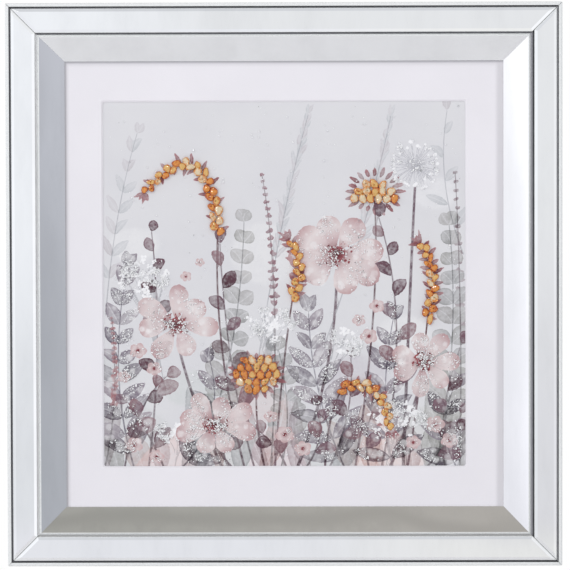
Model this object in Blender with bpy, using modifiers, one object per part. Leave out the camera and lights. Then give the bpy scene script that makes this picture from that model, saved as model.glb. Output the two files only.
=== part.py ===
"""Wall picture frame faced with bevelled mirror strips, round a white mat and a beaded flower panel.

Metres, +Z up. The front faces -Y, and the origin is the middle of the flat back that lies on the wall.
"""

import math
import random

import bmesh
import bpy
from mathutils import Matrix, Vector

# Outer size of the frame, and the gap that touching pieces keep.
WIDTH = 0.550
HEIGHT = 0.558
DEPTH = 0.032
GAP = 0.0003

# Widths across the frame's face, from the outer edge inwards, as seen from the front.
SIDE_GLASS = 0.0036
OUTER_JOINT = 0.0020
FACE_GLASS = {"top": 0.0238, "right": 0.0220, "bottom": 0.0238, "left": 0.0238}
SLOPE_TOP = 0.0332  # where the inner sloped strip starts
SLOPE_FOOT = 0.0576  # where it meets the mat

# Thicknesses and depths of the glass.
FACE_THICK = 0.0040
FACE_BEVEL = 0.0030
FACE_BEVEL_DROP = 0.0009
SIDE_GLASS_SET_BACK = 0.0006
SIDE_GLASS_BACK = -0.0004
SIDE_ARRIS = 0.0010
SLOPE_SET_BACK = 0.0004
SLOPE_THICK = 0.0033

# The stack behind the opening, from the back: board, card, panel, mat.
BOARD_THICK = 0.0030
CARD_THICK = 0.0024
PANEL_THICK = 0.0034
MAT_THICK = 0.0016
REBATE = 0.0440  # from the frame's outer edge to the wall of the rebate
WINDOW_WIDTH = 0.3600
WINDOW_HEIGHT = 0.3626
WINDOW_CORNER = 0.0018

# Fixings in the back.
SCREW_HEAD_R = 0.0034
SCREW_SHANK_R = 0.0016
SCREW_HEAD_DEEP = 0.0019
SCREW_LONG = 0.0120
SCREW_SIDES = 8
FIXING_INSET = 0.0240  # from the frame's outer edge to the screws and the hanger plates
BOARD_SCREW_AT = 0.1700  # from the middle of a side
PLATE_AT = 0.1200
PLATE_LONG = 0.0460
PLATE_HIGH = 0.0180
PLATE_THICK = 0.0014
PLATE_SCREW_AT = 0.0185
KEYHOLE_R = 0.0045
KEYHOLE_SLOT_R = 0.0023
KEYHOLE_RISE = 0.0080
KEYHOLE_FOOT = -0.0030  # the middle of the keyhole's wide end, from the plate's middle
KEYHOLE_STEPS = 10
SLOT_STEPS = 6
PLATE_CORNER = 0.0030
PLATE_CORNER_STEPS = 3
PLATE_PLAY = 0.0005  # between the plate and its window in the back board
POCKET_DEEP = 0.0070
POCKET_PLAY = 0.0010  # between the keyhole's edge and the pocket's walls
SCREW_SUNK = 0.0001  # how far the heads lie below the face around them
SCREW_POINT = 0.35  # of the shank's radius

# Amber chips and crushed glass on the panel.
CHIP_LONG = 0.0104
CHIP_WIDE = 0.0088
CHIP_HIGH = 0.0042
CHIP_SEGMENTS = 6
CHIP_RINGS = 3
CHIP_FLAT = 0.18  # how much of the pebble below its middle is left above the panel, of its diameter
SHARD = 0.0066
SHARD_HIGH = 0.60  # of the shard's width
SHARD_LIFT = 0.22

# Depths that follow from those above, as y values. The back is at y = 0.
FRONT = -DEPTH
BOARD_FRONT = -BOARD_THICK
CARD_BACK = BOARD_FRONT - GAP
CARD_FRONT = CARD_BACK - CARD_THICK
PANEL_BACK = CARD_FRONT - GAP
PANEL_FRONT = PANEL_BACK - PANEL_THICK
MAT_BACK = PANEL_FRONT - GAP
MAT_FRONT = MAT_BACK - MAT_THICK
SLOPE_END = MAT_FRONT - GAP
CORE_BACK = BOARD_FRONT - GAP
PLATE_FACE = CORE_BACK + GAP + PLATE_THICK
CORE_FRONT = FRONT + FACE_THICK + GAP

SIDES = {
    "top": (0.0, (0.0, HEIGHT / 2), WIDTH / 2),
    "right": (90.0, (WIDTH / 2, 0.0), HEIGHT / 2),
    "bottom": (180.0, (0.0, -HEIGHT / 2), WIDTH / 2),
    "left": (270.0, (-WIDTH / 2, 0.0), HEIGHT / 2),
}

# Each amber spray is a stem curve: root, bend and tip, as (across, up) from the window's middle.
SPRAYS = {
    "amber_arching_spray": ((-0.066, 0.052), (-0.076, 0.164), (-0.138, 0.092)),
    "amber_side_spray": ((0.142, -0.034), (0.156, 0.012), (0.136, 0.040)),
    "amber_bud_spray": ((0.008, -0.012), (0.022, 0.018), (0.006, 0.044)),
    "amber_drooping_spray": ((0.056, -0.104), (0.100, -0.088), (0.104, -0.144)),
}
SPRAY_SPREAD = 0.0031  # from the stem curve to a chip's middle, at the root
SPRAY_PITCH = 0.0050
SPRAY_NARROWS = 0.35  # of the spread, from root to tip
SPRAY_TAPER = 0.16  # of a chip's size, from root to tip
SPRAY_SPLAY = math.radians(34)  # how far a chip leans away from the stem
# Each amber head is a packed bunch: its middle, with the chips in each row from the lowest up.
HEADS = {
    "amber_domed_head": ((0.090, 0.092), (6, 5, 3)),
    "amber_round_head": ((-0.028, -0.090), (3, 5, 6, 5, 4)),
}
HEAD_PITCH = 0.0080
HEAD_FAN = math.radians(16)  # how far each chip leans out beyond the one beside it
ROW_RISE = 0.88  # of the pitch, from one packed row to the next
# Each crust of crushed glass is a patch of shards: its middle, with the shards in each row, lowest first.
CRUSTS = {
    "crushed_glass_large_flower": ((0.052, 0.030), (3, 4, 3)),
    "crushed_glass_left_flower": ((-0.108, -0.040), (2, 3, 4)),
    "crushed_glass_right_flower": ((0.138, -0.078), (3, 4, 2)),
    "crushed_glass_low_flower": ((-0.070, -0.140), (2, 3, 2)),
    "crushed_glass_seed_head": ((0.130, 0.118), (3, 4, 3)),
}
CRUST_PITCH = 0.0044


def new_material(name, colour, roughness, metallic=0.0, transmission=0.0, ior=1.5):
    material = bpy.data.materials.new(name)
    material.use_nodes = True
    shader = material.node_tree.nodes["Principled BSDF"]
    shader.inputs["Base Color"].default_value = (*colour, 1.0)
    shader.inputs["Roughness"].default_value = roughness
    shader.inputs["Metallic"].default_value = metallic
    shader.inputs["Transmission Weight"].default_value = transmission
    shader.inputs["IOR"].default_value = ior
    material.diffuse_color = (*colour, 1.0)
    return material


def clear_scene():
    for obj in list(bpy.data.objects):
        bpy.data.objects.remove(obj, do_unlink=True)


def new_collection(name):
    collection = bpy.data.collections.new(name)
    bpy.context.scene.collection.children.link(collection)
    return collection


def new_object(name, bm, collection, material=None, helper=False):
    mesh = bpy.data.meshes.new(name)
    bm.normal_update()
    bm.to_mesh(mesh)
    bm.free()
    obj = bpy.data.objects.new(name, mesh)
    collection.objects.link(obj)
    if material:
        mesh.materials.append(material)
    if helper:
        obj.hide_render = True
        obj.display_type = "WIRE"
    return obj


def cut(obj, cutters, name):
    """Takes the cutter object, or every object of the cutter collection, out of obj."""
    modifier = obj.modifiers.new(name, "BOOLEAN")
    modifier.operation = "DIFFERENCE"
    modifier.solver = "EXACT"
    if isinstance(cutters, bpy.types.Collection):
        modifier.operand_type = "COLLECTION"
        modifier.collection = cutters
    else:
        modifier.object = cutters
    return modifier


def box_mesh(low, high):
    bm = bmesh.new()
    bmesh.ops.create_cube(bm, size=1.0)
    low, high = Vector(low), Vector(high)
    bmesh.ops.scale(bm, vec=high - low, verts=bm.verts)
    bmesh.ops.translate(bm, vec=(low + high) / 2, verts=bm.verts)
    return bm


def mitred_length(profile, half_length):
    """A length of moulding along X with 45 degree ends.

    The profile's points are (distance in from the outer edge, y), and the outer edge lies at z = 0.
    """
    bm = bmesh.new()
    ring = [bm.verts.new((-half_length, y, -inwards)) for inwards, y in profile]
    end = bm.faces.new(ring)
    swept = bmesh.ops.extrude_face_region(bm, geom=[end])
    moved = [v for v in swept["geom"] if isinstance(v, bmesh.types.BMVert)]
    bmesh.ops.translate(bm, vec=(2 * half_length, 0, 0), verts=moved)
    set_back = GAP / 2 * math.sqrt(2)
    for way in (-1, 1):
        found = bmesh.ops.bisect_plane(
            bm,
            geom=bm.verts[:] + bm.edges[:] + bm.faces[:],
            plane_co=(way * (half_length - set_back), 0, 0),
            plane_no=(way, 0, -1),
            clear_outer=True,
        )
        edges = [e for e in found["geom_cut"] if isinstance(e, bmesh.types.BMEdge)]
        bmesh.ops.contextual_create(bm, geom=edges)
    bmesh.ops.recalc_face_normals(bm, faces=bm.faces)
    return bm


def place_on_side(obj, side):
    turn, (across, up), _ = SIDES[side]
    obj.rotation_euler = (0, math.radians(turn), 0)
    obj.location = (across, 0, up)


def slope_points():
    """The sloped strip's corners (front top, back top, back foot, front foot) and its two directions."""
    front_top = Vector((SLOPE_TOP, FRONT + SLOPE_SET_BACK))
    foot = Vector((SLOPE_FOOT, SLOPE_END))
    along = (foot - front_top).normalized()
    behind = Vector((-along.y, along.x))
    back_top = front_top + behind * SLOPE_THICK
    back_foot = back_top + along * ((SLOPE_END - back_top.y) / along.y)
    return front_top, back_top, back_foot, foot, along, behind


def core_profile():
    _, back_top, _, _, along, behind = slope_points()
    seat = back_top + behind * GAP
    crest = seat + along * ((CORE_FRONT - seat.y) / along.y)
    tip = seat + along * ((SLOPE_END - seat.y) / along.y)
    outer = SIDE_GLASS + GAP
    return [
        (outer, CORE_BACK),
        (outer, CORE_FRONT),
        tuple(crest),
        tuple(tip),
        (REBATE, SLOPE_END),
        (REBATE, CORE_BACK),
    ]


def make_core_rails(collection, material):
    rails = {}
    for side, (_, _, half_length) in SIDES.items():
        bm = mitred_length(core_profile(), half_length)
        rails[side] = new_object(f"core_rail_{side}", bm, collection, material)
        place_on_side(rails[side], side)
    return rails


def make_side_strips(collection, material):
    front = FRONT + SIDE_GLASS_SET_BACK
    inner_arris = SIDE_ARRIS / 3
    profile = [
        (0.0, SIDE_GLASS_BACK),
        (0.0, front + SIDE_ARRIS),
        (SIDE_ARRIS, front),
        (SIDE_GLASS - inner_arris, front),
        (SIDE_GLASS, front + inner_arris),
        (SIDE_GLASS, SIDE_GLASS_BACK),
    ]
    for side, (_, _, half_length) in SIDES.items():
        bm = mitred_length(profile, half_length)
        place_on_side(new_object(f"side_mirror_{side}", bm, collection, material), side)


def make_face_strips(collection, material):
    """Flat strips whose front has a shallow ground bevel along all four edges."""
    outer = SIDE_GLASS + OUTER_JOINT
    low_front = FRONT + FACE_BEVEL_DROP
    back = FRONT + FACE_THICK
    for side, (_, _, half_length) in SIDES.items():
        inner = outer + FACE_GLASS[side]
        bm = mitred_length(
            [(outer, back), (outer, low_front), (inner, low_front), (inner, back)], half_length
        )
        face = min(bm.faces, key=lambda f: f.calc_center_median().y)
        bmesh.ops.inset_region(bm, faces=[face], thickness=FACE_BEVEL, use_even_offset=True)
        bmesh.ops.translate(bm, vec=(0, -FACE_BEVEL_DROP, 0), verts=face.verts)
        place_on_side(new_object(f"face_mirror_{side}", bm, collection, material), side)


def make_slope_strips(collection, material):
    profile = [tuple(point) for point in slope_points()[:4]]
    for side, (_, _, half_length) in SIDES.items():
        bm = mitred_length(profile, half_length)
        place_on_side(new_object(f"slope_mirror_{side}", bm, collection, material), side)


def window_cutter(collection):
    """The mat's window: a box with rounded corners that widens towards the front, as a bevel-cut mat does."""
    back, front = MAT_BACK + MAT_THICK, MAT_FRONT - MAT_THICK
    across, up = WINDOW_WIDTH / 2 - MAT_THICK, WINDOW_HEIGHT / 2 - MAT_THICK
    bm = box_mesh((-across, front, -up), (across, back, up))
    corners = [e for e in bm.edges if abs(e.verts[0].co.y - e.verts[1].co.y) > MAT_THICK]
    bmesh.ops.bevel(
        bm, geom=corners, offset=WINDOW_CORNER, affect="EDGES", segments=3, profile=0.5, material=-1
    )
    widen = back - front
    bmesh.ops.scale(
        bm,
        vec=(1 + widen / across, 1, 1 + widen / up),
        verts=[v for v in bm.verts if v.co.y < MAT_FRONT],
    )
    return new_object("window_cutter", bm, collection, helper=True)


def rebate_box(back, front, slack):
    across = WIDTH / 2 - REBATE - slack
    up = HEIGHT / 2 - REBATE - slack
    return box_mesh((-across, front, -up), (across, back, up))


def make_mat(collection, cutters, material):
    mat = new_object("mat", rebate_box(MAT_BACK, MAT_FRONT, GAP), collection, material)
    cut(mat, window_cutter(cutters), "window")


def make_panel_and_card(collection, panel_material, card_material):
    new_object("picture_panel", rebate_box(PANEL_BACK, PANEL_FRONT, GAP), collection, panel_material)
    new_object("backing_card", rebate_box(CARD_BACK, CARD_FRONT, 2 * GAP), collection, card_material)


def screw_profile(clearance):
    """The half outline of a countersunk screw from its tip up, head at z = 0, as (radius, z)."""
    head, shank = SCREW_HEAD_R + clearance, SCREW_SHANK_R + clearance
    tip = -(SCREW_LONG + clearance)
    top = BOARD_THICK if clearance else 0.0  # a hole's cutter goes on past the head
    return [
        (0.0, tip),
        (shank * SCREW_POINT, tip),
        (shank, tip + shank),
        (shank, -SCREW_HEAD_DEEP),
        (head, 0.0),
        (head, top),
        (0.0, top),
    ]


def turned_object(name, points, collection, material=None, helper=False):
    """A half outline turned about Z with a Screw modifier."""
    bm = bmesh.new()
    verts = [bm.verts.new((radius, 0, height)) for radius, height in points]
    for pair in zip(verts, verts[1:]):
        bm.edges.new(pair)
    bmesh.ops.remove_doubles(bm, verts=bm.verts, dist=1e-6)
    obj = new_object(name, bm, collection, material, helper)
    turn = obj.modifiers.new("turn", "SCREW")
    turn.axis = "Z"
    turn.steps = turn.render_steps = SCREW_SIDES
    turn.use_merge_vertices = True
    turn.merge_threshold = 1e-5
    turn.use_normal_flip = True
    turn.use_smooth_shade = False
    return obj


def screw_places():
    """Name and place of each screw: its head's middle, as (x, y, z)."""
    board_head, plate_head = -SCREW_SUNK, PLATE_FACE - SCREW_SUNK
    side = WIDTH / 2 - FIXING_INSET
    up = HEIGHT / 2 - FIXING_INSET
    signs = [(s, t) for s in (-1, 1) for t in (-1, 1)]
    board = [(s * BOARD_SCREW_AT, t * up) for s, t in signs]
    board += [(s * side, t * BOARD_SCREW_AT) for s, t in signs]
    places = {f"board_screw_{i}": (x, board_head, z) for i, (x, z) in enumerate(board, 1)}
    for hand, way in (("left", -1), ("right", 1)):
        for end, step in (("outer", way), ("inner", -way)):
            x = way * PLATE_AT + step * PLATE_SCREW_AT
            places[f"hanger_screw_{hand}_{end}"] = (x, plate_head, up)
    return places


def make_screws(collection, cutters, material):
    """Puts in the screws and returns the collection of their clearance holes."""
    holes = bpy.data.collections.new("screw_holes")
    cutters.children.link(holes)
    for name, place in screw_places().items():
        screw = turned_object(name, screw_profile(0.0), collection, material)
        hole = turned_object(f"{name}_hole", screw_profile(GAP), holes, helper=True)
        for made in (screw, hole):
            made.location = place
            made.rotation_euler = (math.radians(-90), 0, 0)
    return holes


def arc(middle, radius, start, sweep, steps):
    """Points of an arc, both ends included, with its angles in radians."""
    angles = [start + sweep * i / steps for i in range(steps + 1)]
    return [(middle[0] + radius * math.cos(a), middle[1] + radius * math.sin(a)) for a in angles]


def keyhole_outline():
    """The wide end from the slot's left side round to its right, then the slot's top: (across, up)."""
    meet = math.asin(KEYHOLE_SLOT_R / KEYHOLE_R)
    start, sweep = math.pi / 2 + meet, 2 * (math.pi - meet)
    return arc((0, KEYHOLE_FOOT), KEYHOLE_R, start, sweep, KEYHOLE_STEPS) + arc(
        (0, KEYHOLE_FOOT + KEYHOLE_RISE), KEYHOLE_SLOT_R, 0, math.pi, SLOT_STEPS
    )


def plate_corners():
    """The plate's rounded rectangle."""
    across, up = PLATE_LONG / 2 - PLATE_CORNER, PLATE_HIGH / 2 - PLATE_CORNER
    quarter = math.pi / 2
    points = []
    for turn, (sx, sz) in enumerate(((1, 1), (-1, 1), (-1, -1), (1, -1))):
        points += arc((sx * across, sz * up), PLATE_CORNER, turn * quarter, quarter, PLATE_CORNER_STEPS)
    return points


def flat_piece(name, outlines, thickness, collection, material):
    """A flat piece with its holes, from a filled 2D curve made into a mesh."""
    curve = bpy.data.curves.new(name, "CURVE")
    curve.dimensions = "2D"
    curve.fill_mode = "BOTH"
    curve.extrude = thickness / 2
    for outline in outlines:
        spline = curve.splines.new("POLY")
        spline.points.add(len(outline) - 1)
        for point, (across, up) in zip(spline.points, outline):
            point.co = (across, up, 0, 1)
        spline.use_cyclic_u = True
    drawn = bpy.data.objects.new(f"{name}_outline", curve)
    bpy.context.scene.collection.objects.link(drawn)
    graph = bpy.context.evaluated_depsgraph_get()
    mesh = bpy.data.meshes.new_from_object(drawn.evaluated_get(graph))
    bpy.data.objects.remove(drawn, do_unlink=True)
    bm = bmesh.new()
    bm.from_mesh(mesh)
    bpy.data.meshes.remove(mesh)
    bmesh.ops.remove_doubles(bm, verts=bm.verts, dist=1e-6)
    bmesh.ops.recalc_face_normals(bm, faces=bm.faces)
    return new_object(name, bm, collection, material)


def make_hangers(collection, cutters, holes, rail, board, material):
    """Keyhole plates screwed on the top rail inside two windows of the back board, each over a pocket."""
    up = HEIGHT / 2 - FIXING_INSET
    for hand, way in (("left", -1), ("right", 1)):
        name = f"hanger_plate_{hand}"
        plate = flat_piece(name, [plate_corners(), keyhole_outline()], PLATE_THICK, collection, material)
        plate.rotation_euler = (math.radians(90), 0, 0)
        plate.location = (way * PLATE_AT, PLATE_FACE - PLATE_THICK / 2, up)
        cut(plate, holes, "screw_holes")
        middle = Vector((way * PLATE_AT, 0, up))
        half = Vector((PLATE_LONG / 2 + PLATE_PLAY, 0, PLATE_HIGH / 2 + PLATE_PLAY))
        low, high = middle - half, middle + half
        low.y, high.y = CORE_BACK, BOARD_THICK
        window = new_object(f"{name}_window", box_mesh(low, high), cutters, helper=True)
        cut(board, window, "plate_window")
        half = Vector((KEYHOLE_R + POCKET_PLAY, 0, KEYHOLE_R + KEYHOLE_RISE / 2 + POCKET_PLAY))
        low, high = middle - half, middle + half
        low.y, high.y = CORE_BACK - POCKET_DEEP, 0.0
        pocket = new_object(f"{name}_pocket", box_mesh(low, high), cutters, helper=True)
        cut(rail, pocket, "screw_head_pocket")


def make_back_board(collection, material):
    across = WIDTH / 2 - SIDE_GLASS - GAP
    up = HEIGHT / 2 - SIDE_GLASS - GAP
    return new_object(
        "back_board", box_mesh((-across, BOARD_FRONT, -up), (across, 0, up)), collection, material
    )


def bend_point(root, bend, tip, along):
    """A point of the stem curve and its direction there."""
    root, bend, tip = Vector(root), Vector(bend), Vector(tip)
    point = root * (1 - along) ** 2 + bend * 2 * along * (1 - along) + tip * along**2
    heading = (bend - root) * (1 - along) + (tip - bend) * along
    return point, heading.normalized()


def even_steps(root, bend, tip, pitch):
    """The places along a stem curve, 0 to 1, that lie one pitch apart on it."""
    fine = 200
    points = [bend_point(root, bend, tip, i / fine)[0] for i in range(fine + 1)]
    steps, run = [0.0], 0.0
    for i in range(fine):
        run += (points[i + 1] - points[i]).length
        if run >= pitch * len(steps):
            steps.append((i + 1) / fine)
    return steps


def spray_chips(root, bend, tip):
    """Chips set left and right of a stem in turn, smaller towards its tip: (across, up, size, turn)."""
    chips = []
    for i, along in enumerate(even_steps(root, bend, tip, SPRAY_PITCH)):
        point, heading = bend_point(root, bend, tip, along)
        hand = 1 if i % 2 else -1
        spread = hand * SPRAY_SPREAD * (1 - SPRAY_NARROWS * along)
        place = point + Vector((-heading.y, heading.x)) * spread
        turn = math.atan2(heading.y, heading.x) + hand * SPRAY_SPLAY
        chips.append((*place, 1.0 - SPRAY_TAPER * along, turn))
    return chips


def packed_rows(rows, pitch):
    """Places packed in staggered rows about a middle, from the lowest row up: (across, up)."""
    return [
        ((i - (count - 1) / 2) * pitch, (row - (len(rows) - 1) / 2) * pitch * ROW_RISE)
        for row, count in enumerate(rows)
        for i in range(count)
    ]


def head_chips(middle, rows):
    """Chips of a packed bunch, leaning out from its foot: (across, up, size, turn)."""
    chips = []
    for across, up in packed_rows(rows, HEAD_PITCH):
        turn = math.radians(90) - across / HEAD_PITCH * HEAD_FAN
        chips.append((middle[0] + across, middle[1] + up, 1.0, turn))
    return chips


def chip_mesh(size, turn, place, rng):
    """One tumbled chip lying on the panel: a low rounded pebble with a flat underside."""
    bm = bmesh.new()
    radius = 0.5 / math.sin(math.pi / CHIP_RINGS)  # so that the widest ring is 1 across
    bmesh.ops.create_uvsphere(bm, u_segments=CHIP_SEGMENTS, v_segments=CHIP_RINGS, radius=radius)
    long = CHIP_LONG * size * rng.uniform(0.96, 1.08)
    wide = CHIP_WIDE * size * rng.uniform(0.96, 1.06)
    high = CHIP_HIGH * rng.uniform(0.86, 1.0)
    for vert in bm.verts:
        lifted = max(0.0, vert.co.z + CHIP_FLAT) / (radius + CHIP_FLAT)
        vert.co = (vert.co.x * long, vert.co.y * wide, lifted * high)
    bmesh.ops.rotate(bm, matrix=Matrix.Rotation(turn, 3, "Z"), verts=bm.verts)
    lay_on_panel(bm, place)
    return bm


def shard_mesh(size, place, rng):
    """One splinter of glass: a few flat faces, wider than it is high."""
    bm = bmesh.new()
    bmesh.ops.create_icosphere(bm, subdivisions=1, radius=0.5)
    bmesh.ops.scale(bm, vec=(size, size * rng.uniform(0.7, 0.9), size * SHARD_HIGH), verts=bm.verts)
    bmesh.ops.rotate(bm, matrix=Matrix.Rotation(rng.uniform(0, math.pi), 3, "Z"), verts=bm.verts)
    for vert in bm.verts:
        vert.co.z = max(0.0, vert.co.z + size * SHARD_LIFT)
    lay_on_panel(bm, place)
    return bm


def lay_on_panel(bm, place):
    """Turns a piece modelled on the XY plane to stand on the panel's front, at (across, up)."""
    bmesh.ops.rotate(bm, matrix=Matrix.Rotation(math.radians(90), 3, "X"), verts=bm.verts)
    bmesh.ops.translate(bm, vec=(place[0], PANEL_FRONT - GAP, place[1]), verts=bm.verts)


def fused(name, meshes, collection, cutters, material):
    """One body from pieces that overlap: the first one, joined with a collection of the others."""
    others = bpy.data.collections.new(f"{name}_others")
    cutters.children.link(others)
    body = new_object(name, meshes[0], collection, material)
    for number, bm in enumerate(meshes[1:], 2):
        new_object(f"{name}_piece_{number}", bm, others, helper=True)
    modifier = body.modifiers.new("grown_together", "BOOLEAN")
    modifier.operation = "UNION"
    modifier.solver = "EXACT"
    modifier.operand_type = "COLLECTION"
    modifier.collection = others
    return body


def make_amber(collection, cutters, material):
    groups = {name: spray_chips(*values) for name, values in SPRAYS.items()}
    groups.update({name: head_chips(*values) for name, values in HEADS.items()})
    for seed, (name, chips) in enumerate(groups.items(), 11):
        rng = random.Random(seed)
        meshes = [chip_mesh(size, turn, (across, up), rng) for across, up, size, turn in chips]
        fused(name, meshes, collection, cutters, material)


def make_crusts(collection, cutters, material):
    for seed, (name, (middle, rows)) in enumerate(CRUSTS.items(), 31):
        rng = random.Random(seed)
        meshes = [
            shard_mesh(SHARD * rng.uniform(0.95, 1.15), (middle[0] + across, middle[1] + up), rng)
            for across, up in packed_rows(rows, CRUST_PITCH)
        ]
        fused(name, meshes, collection, cutters, material)


def main():
    clear_scene()
    parts = new_collection("mirrored_picture_frame")
    cutters = new_collection("cutters")
    cutters.hide_render = True

    black_board = new_material("black_painted_board", (0.018, 0.018, 0.020), 0.55)
    mirror = new_material("silvered_glass", (0.88, 0.90, 0.91), 0.04, metallic=1.0)
    mat_board = new_material("white_mat_board", (0.80, 0.80, 0.83), 0.85)
    paper = new_material("printed_paper", (0.70, 0.70, 0.72), 0.80)
    card = new_material("grey_card", (0.36, 0.33, 0.28), 0.90)
    hardboard = new_material("brown_hardboard", (0.22, 0.13, 0.07), 0.70)
    steel = new_material("zinc_plated_steel", (0.62, 0.62, 0.60), 0.32, metallic=1.0)
    amber = new_material("amber_resin", (0.86, 0.36, 0.08), 0.12, transmission=0.8, ior=1.54)
    crystal = new_material("crushed_clear_glass", (0.93, 0.94, 0.95), 0.05, transmission=1.0, ior=1.52)

    rails = make_core_rails(parts, black_board)
    make_side_strips(parts, mirror)
    make_face_strips(parts, mirror)
    make_slope_strips(parts, mirror)
    make_mat(parts, cutters, mat_board)
    make_panel_and_card(parts, paper, card)
    board = make_back_board(parts, hardboard)
    holes = make_screws(parts, cutters, steel)
    for obj in (*rails.values(), board):
        cut(obj, holes, "screw_holes")
    make_hangers(parts, cutters, holes, rails["top"], board, steel)
    make_amber(parts, cutters, amber)
    make_crusts(parts, cutters, crystal)


main()
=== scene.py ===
"""Looks of the mirrored picture frame with its beaded flower panel.

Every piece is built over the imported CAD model, in metres, +Z up, with the front towards -Y.
"""

import math
import random

import bmesh
import bpy
import numpy as np
from bmesh.types import BMEdge, BMVert
from bpy.props import FloatProperty, FloatVectorProperty, IntProperty, PointerProperty
from mathutils import Matrix, Vector


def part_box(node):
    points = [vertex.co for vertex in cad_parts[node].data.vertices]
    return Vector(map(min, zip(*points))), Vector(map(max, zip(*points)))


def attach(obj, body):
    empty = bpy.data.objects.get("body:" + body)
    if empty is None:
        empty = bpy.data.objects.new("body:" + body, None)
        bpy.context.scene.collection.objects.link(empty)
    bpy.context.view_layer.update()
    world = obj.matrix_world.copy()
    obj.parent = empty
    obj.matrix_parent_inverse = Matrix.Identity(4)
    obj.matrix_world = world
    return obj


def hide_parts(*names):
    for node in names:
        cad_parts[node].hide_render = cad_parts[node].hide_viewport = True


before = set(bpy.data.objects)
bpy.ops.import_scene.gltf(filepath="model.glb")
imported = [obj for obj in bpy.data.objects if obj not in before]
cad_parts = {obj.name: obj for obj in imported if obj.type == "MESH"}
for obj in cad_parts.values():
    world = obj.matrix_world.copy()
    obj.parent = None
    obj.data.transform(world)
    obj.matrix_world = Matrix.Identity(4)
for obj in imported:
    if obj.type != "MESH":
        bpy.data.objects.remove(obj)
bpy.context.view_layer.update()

bl_info = {
    "name": "Mirrored Picture Frame",
    "version": (1, 0, 0),
    "blender": (4, 5, 0),
    "location": "View3D > Sidebar > Picture Frame",
    "description": "Builds the looks of a mirrored frame with a beaded, printed flower panel",
    "category": "Object",
}

# The frame's section, as in the CAD model: widths across the face from the outer edge inwards.
WIDTH, HEIGHT = 0.550, 0.558
FRONT = -0.032
GAP = 0.0003
SIDE_GLASS = 0.0036
SIDE_GLASS_BACK = -0.0004
SIDE_GLASS_SET_BACK = 0.0006
SIDE_ARRIS = 0.0010
FACE_START = 0.0056
FACE_GLASS = {"top": 0.0238, "right": 0.0220, "bottom": 0.0238, "left": 0.0238}
FACE_THICK = 0.0040
FACE_BEVEL_DROP = 0.0009
SLOPE_TOP, SLOPE_FOOT = 0.0332, 0.0576
SLOPE_SET_BACK = 0.0004
SLOPE_THICK = 0.0033
SLOPE_END = -0.0116
SLOPE_MITRE_GAP = 0.00006
WINDOW = (0.3600, 0.3626)
MIRROR, EDGE, BACKING = 0, 1, 2  # the materials of a strip
SHARP = math.radians(30)

# The four sides: their turn about the middle in degrees, the middle of their outer edge and half their length.
SIDES = {
    "top": (0.0, (0.0, HEIGHT / 2), WIDTH / 2),
    "right": (90.0, (WIDTH / 2, 0.0), HEIGHT / 2),
    "bottom": (180.0, (0.0, -HEIGHT / 2), WIDTH / 2),
    "left": (270.0, (-WIDTH / 2, 0.0), HEIGHT / 2),
}

# Tones in the joints of each side: outside the face strip, inside it and close to the sloped strip, and how far
# inwards one gives way to the next. The joints are dark board. The differences between the sides and the pale tones
# are painted light and shade: lighter where light falls into a joint or the glass edges reflect into it, darker where
# it lies in shade.
JOINT_PAINTED_LIGHT = {
    "top": ("#7A7B80", "#7A7B80", "#7A7B80"),
    "right": ("#C4C5C9", "#3E3F43", "#ABABB2"),
    "bottom": ("#6A6B70", "#CDCDCD", "#CDCDCD"),
    "left": ("#8A8B90", "#FAFAFC", "#FAFAFC"),
}
JOINT_INNER_FROM = (0.014, 0.018)
JOINT_BY_SLOPE_FROM = (0.0292, 0.0297)

# Painted shade on the mat along its outer edge, where the strips stand over it: the axis, where the shade starts and
# is full, and its tone.
MAT_PAINTED_SHADE = (
    ("X", 0.2085, 0.2135, "#D6D4D9"),
    ("X", -0.2120, -0.2172, "#D6D4D9"),
    ("Z", 0.2150, 0.2214, "#D6D4D9"),
    ("X", -0.2148, -0.2178, "#A9A8AE"),
    ("Z", 0.2185, 0.2218, "#A9A8AE"),
)

# Fixings in the back, as in the CAD model.
SCREW_HEAD_R, SCREW_SHANK_R, SCREW_HEAD_DEEP, SCREW_POINT = 0.0034, 0.0016, 0.0019, 0.35
SCREW_RIM = 0.0003
SCREW_TIP = 0.0030
RIDGE_PITCH, RIDGE_FOOT = 0.0006, 0.80
RECESS_ARM = ((0.0004, 0.0004), (0.0018, 0.0004), (0.0018, -0.0004))
RECESS_DEEP, RECESS_FOOT = 0.0011, 0.45
ROUND_STEPS, CORNER_STEPS = 32, 9
HOLE_NARROWS = 0.9  # how much narrower a countersunk hole is at its foot, as a share of the plate's thickness
PLATE_SCREW_AT = 0.0185
PLATE_CORNER, PLATE_ARRIS = 0.0030, 0.0002
KEYHOLE_R, KEYHOLE_SLOT_R, KEYHOLE_RISE, KEYHOLE_FOOT = 0.0045, 0.0023, 0.0080, -0.0030

# The chips and the crushed glass, where the CAD model has them: (across, up) from the window's middle.
SPRAYS = {
    "amber_arching_spray": ((-0.066, 0.052), (-0.076, 0.164), (-0.138, 0.092)),
    "amber_side_spray": ((0.142, -0.034), (0.156, 0.012), (0.136, 0.040)),
    "amber_bud_spray": ((0.008, -0.012), (0.022, 0.018), (0.006, 0.044)),
    "amber_drooping_spray": ((0.056, -0.104), (0.100, -0.088), (0.104, -0.144)),
}
SPRAY_SPREAD, SPRAY_PITCH = 0.0031, 0.0050
SPRAY_NARROWS, SPRAY_TAPER = 0.35, 0.16
SPRAY_SPLAY = math.radians(34)
HEADS = {
    "amber_domed_head": ((0.090, 0.092), (6, 5, 3)),
    "amber_round_head": ((-0.028, -0.090), (3, 5, 6, 5, 4)),
}
HEAD_PITCH = 0.0080
HEAD_FAN = math.radians(16)
ROW_RISE = 0.88
CHIP_LONG, CHIP_WIDE, CHIP_HIGH = 0.0104, 0.0088, 0.0041
CHIP_RINGS = 14
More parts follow.
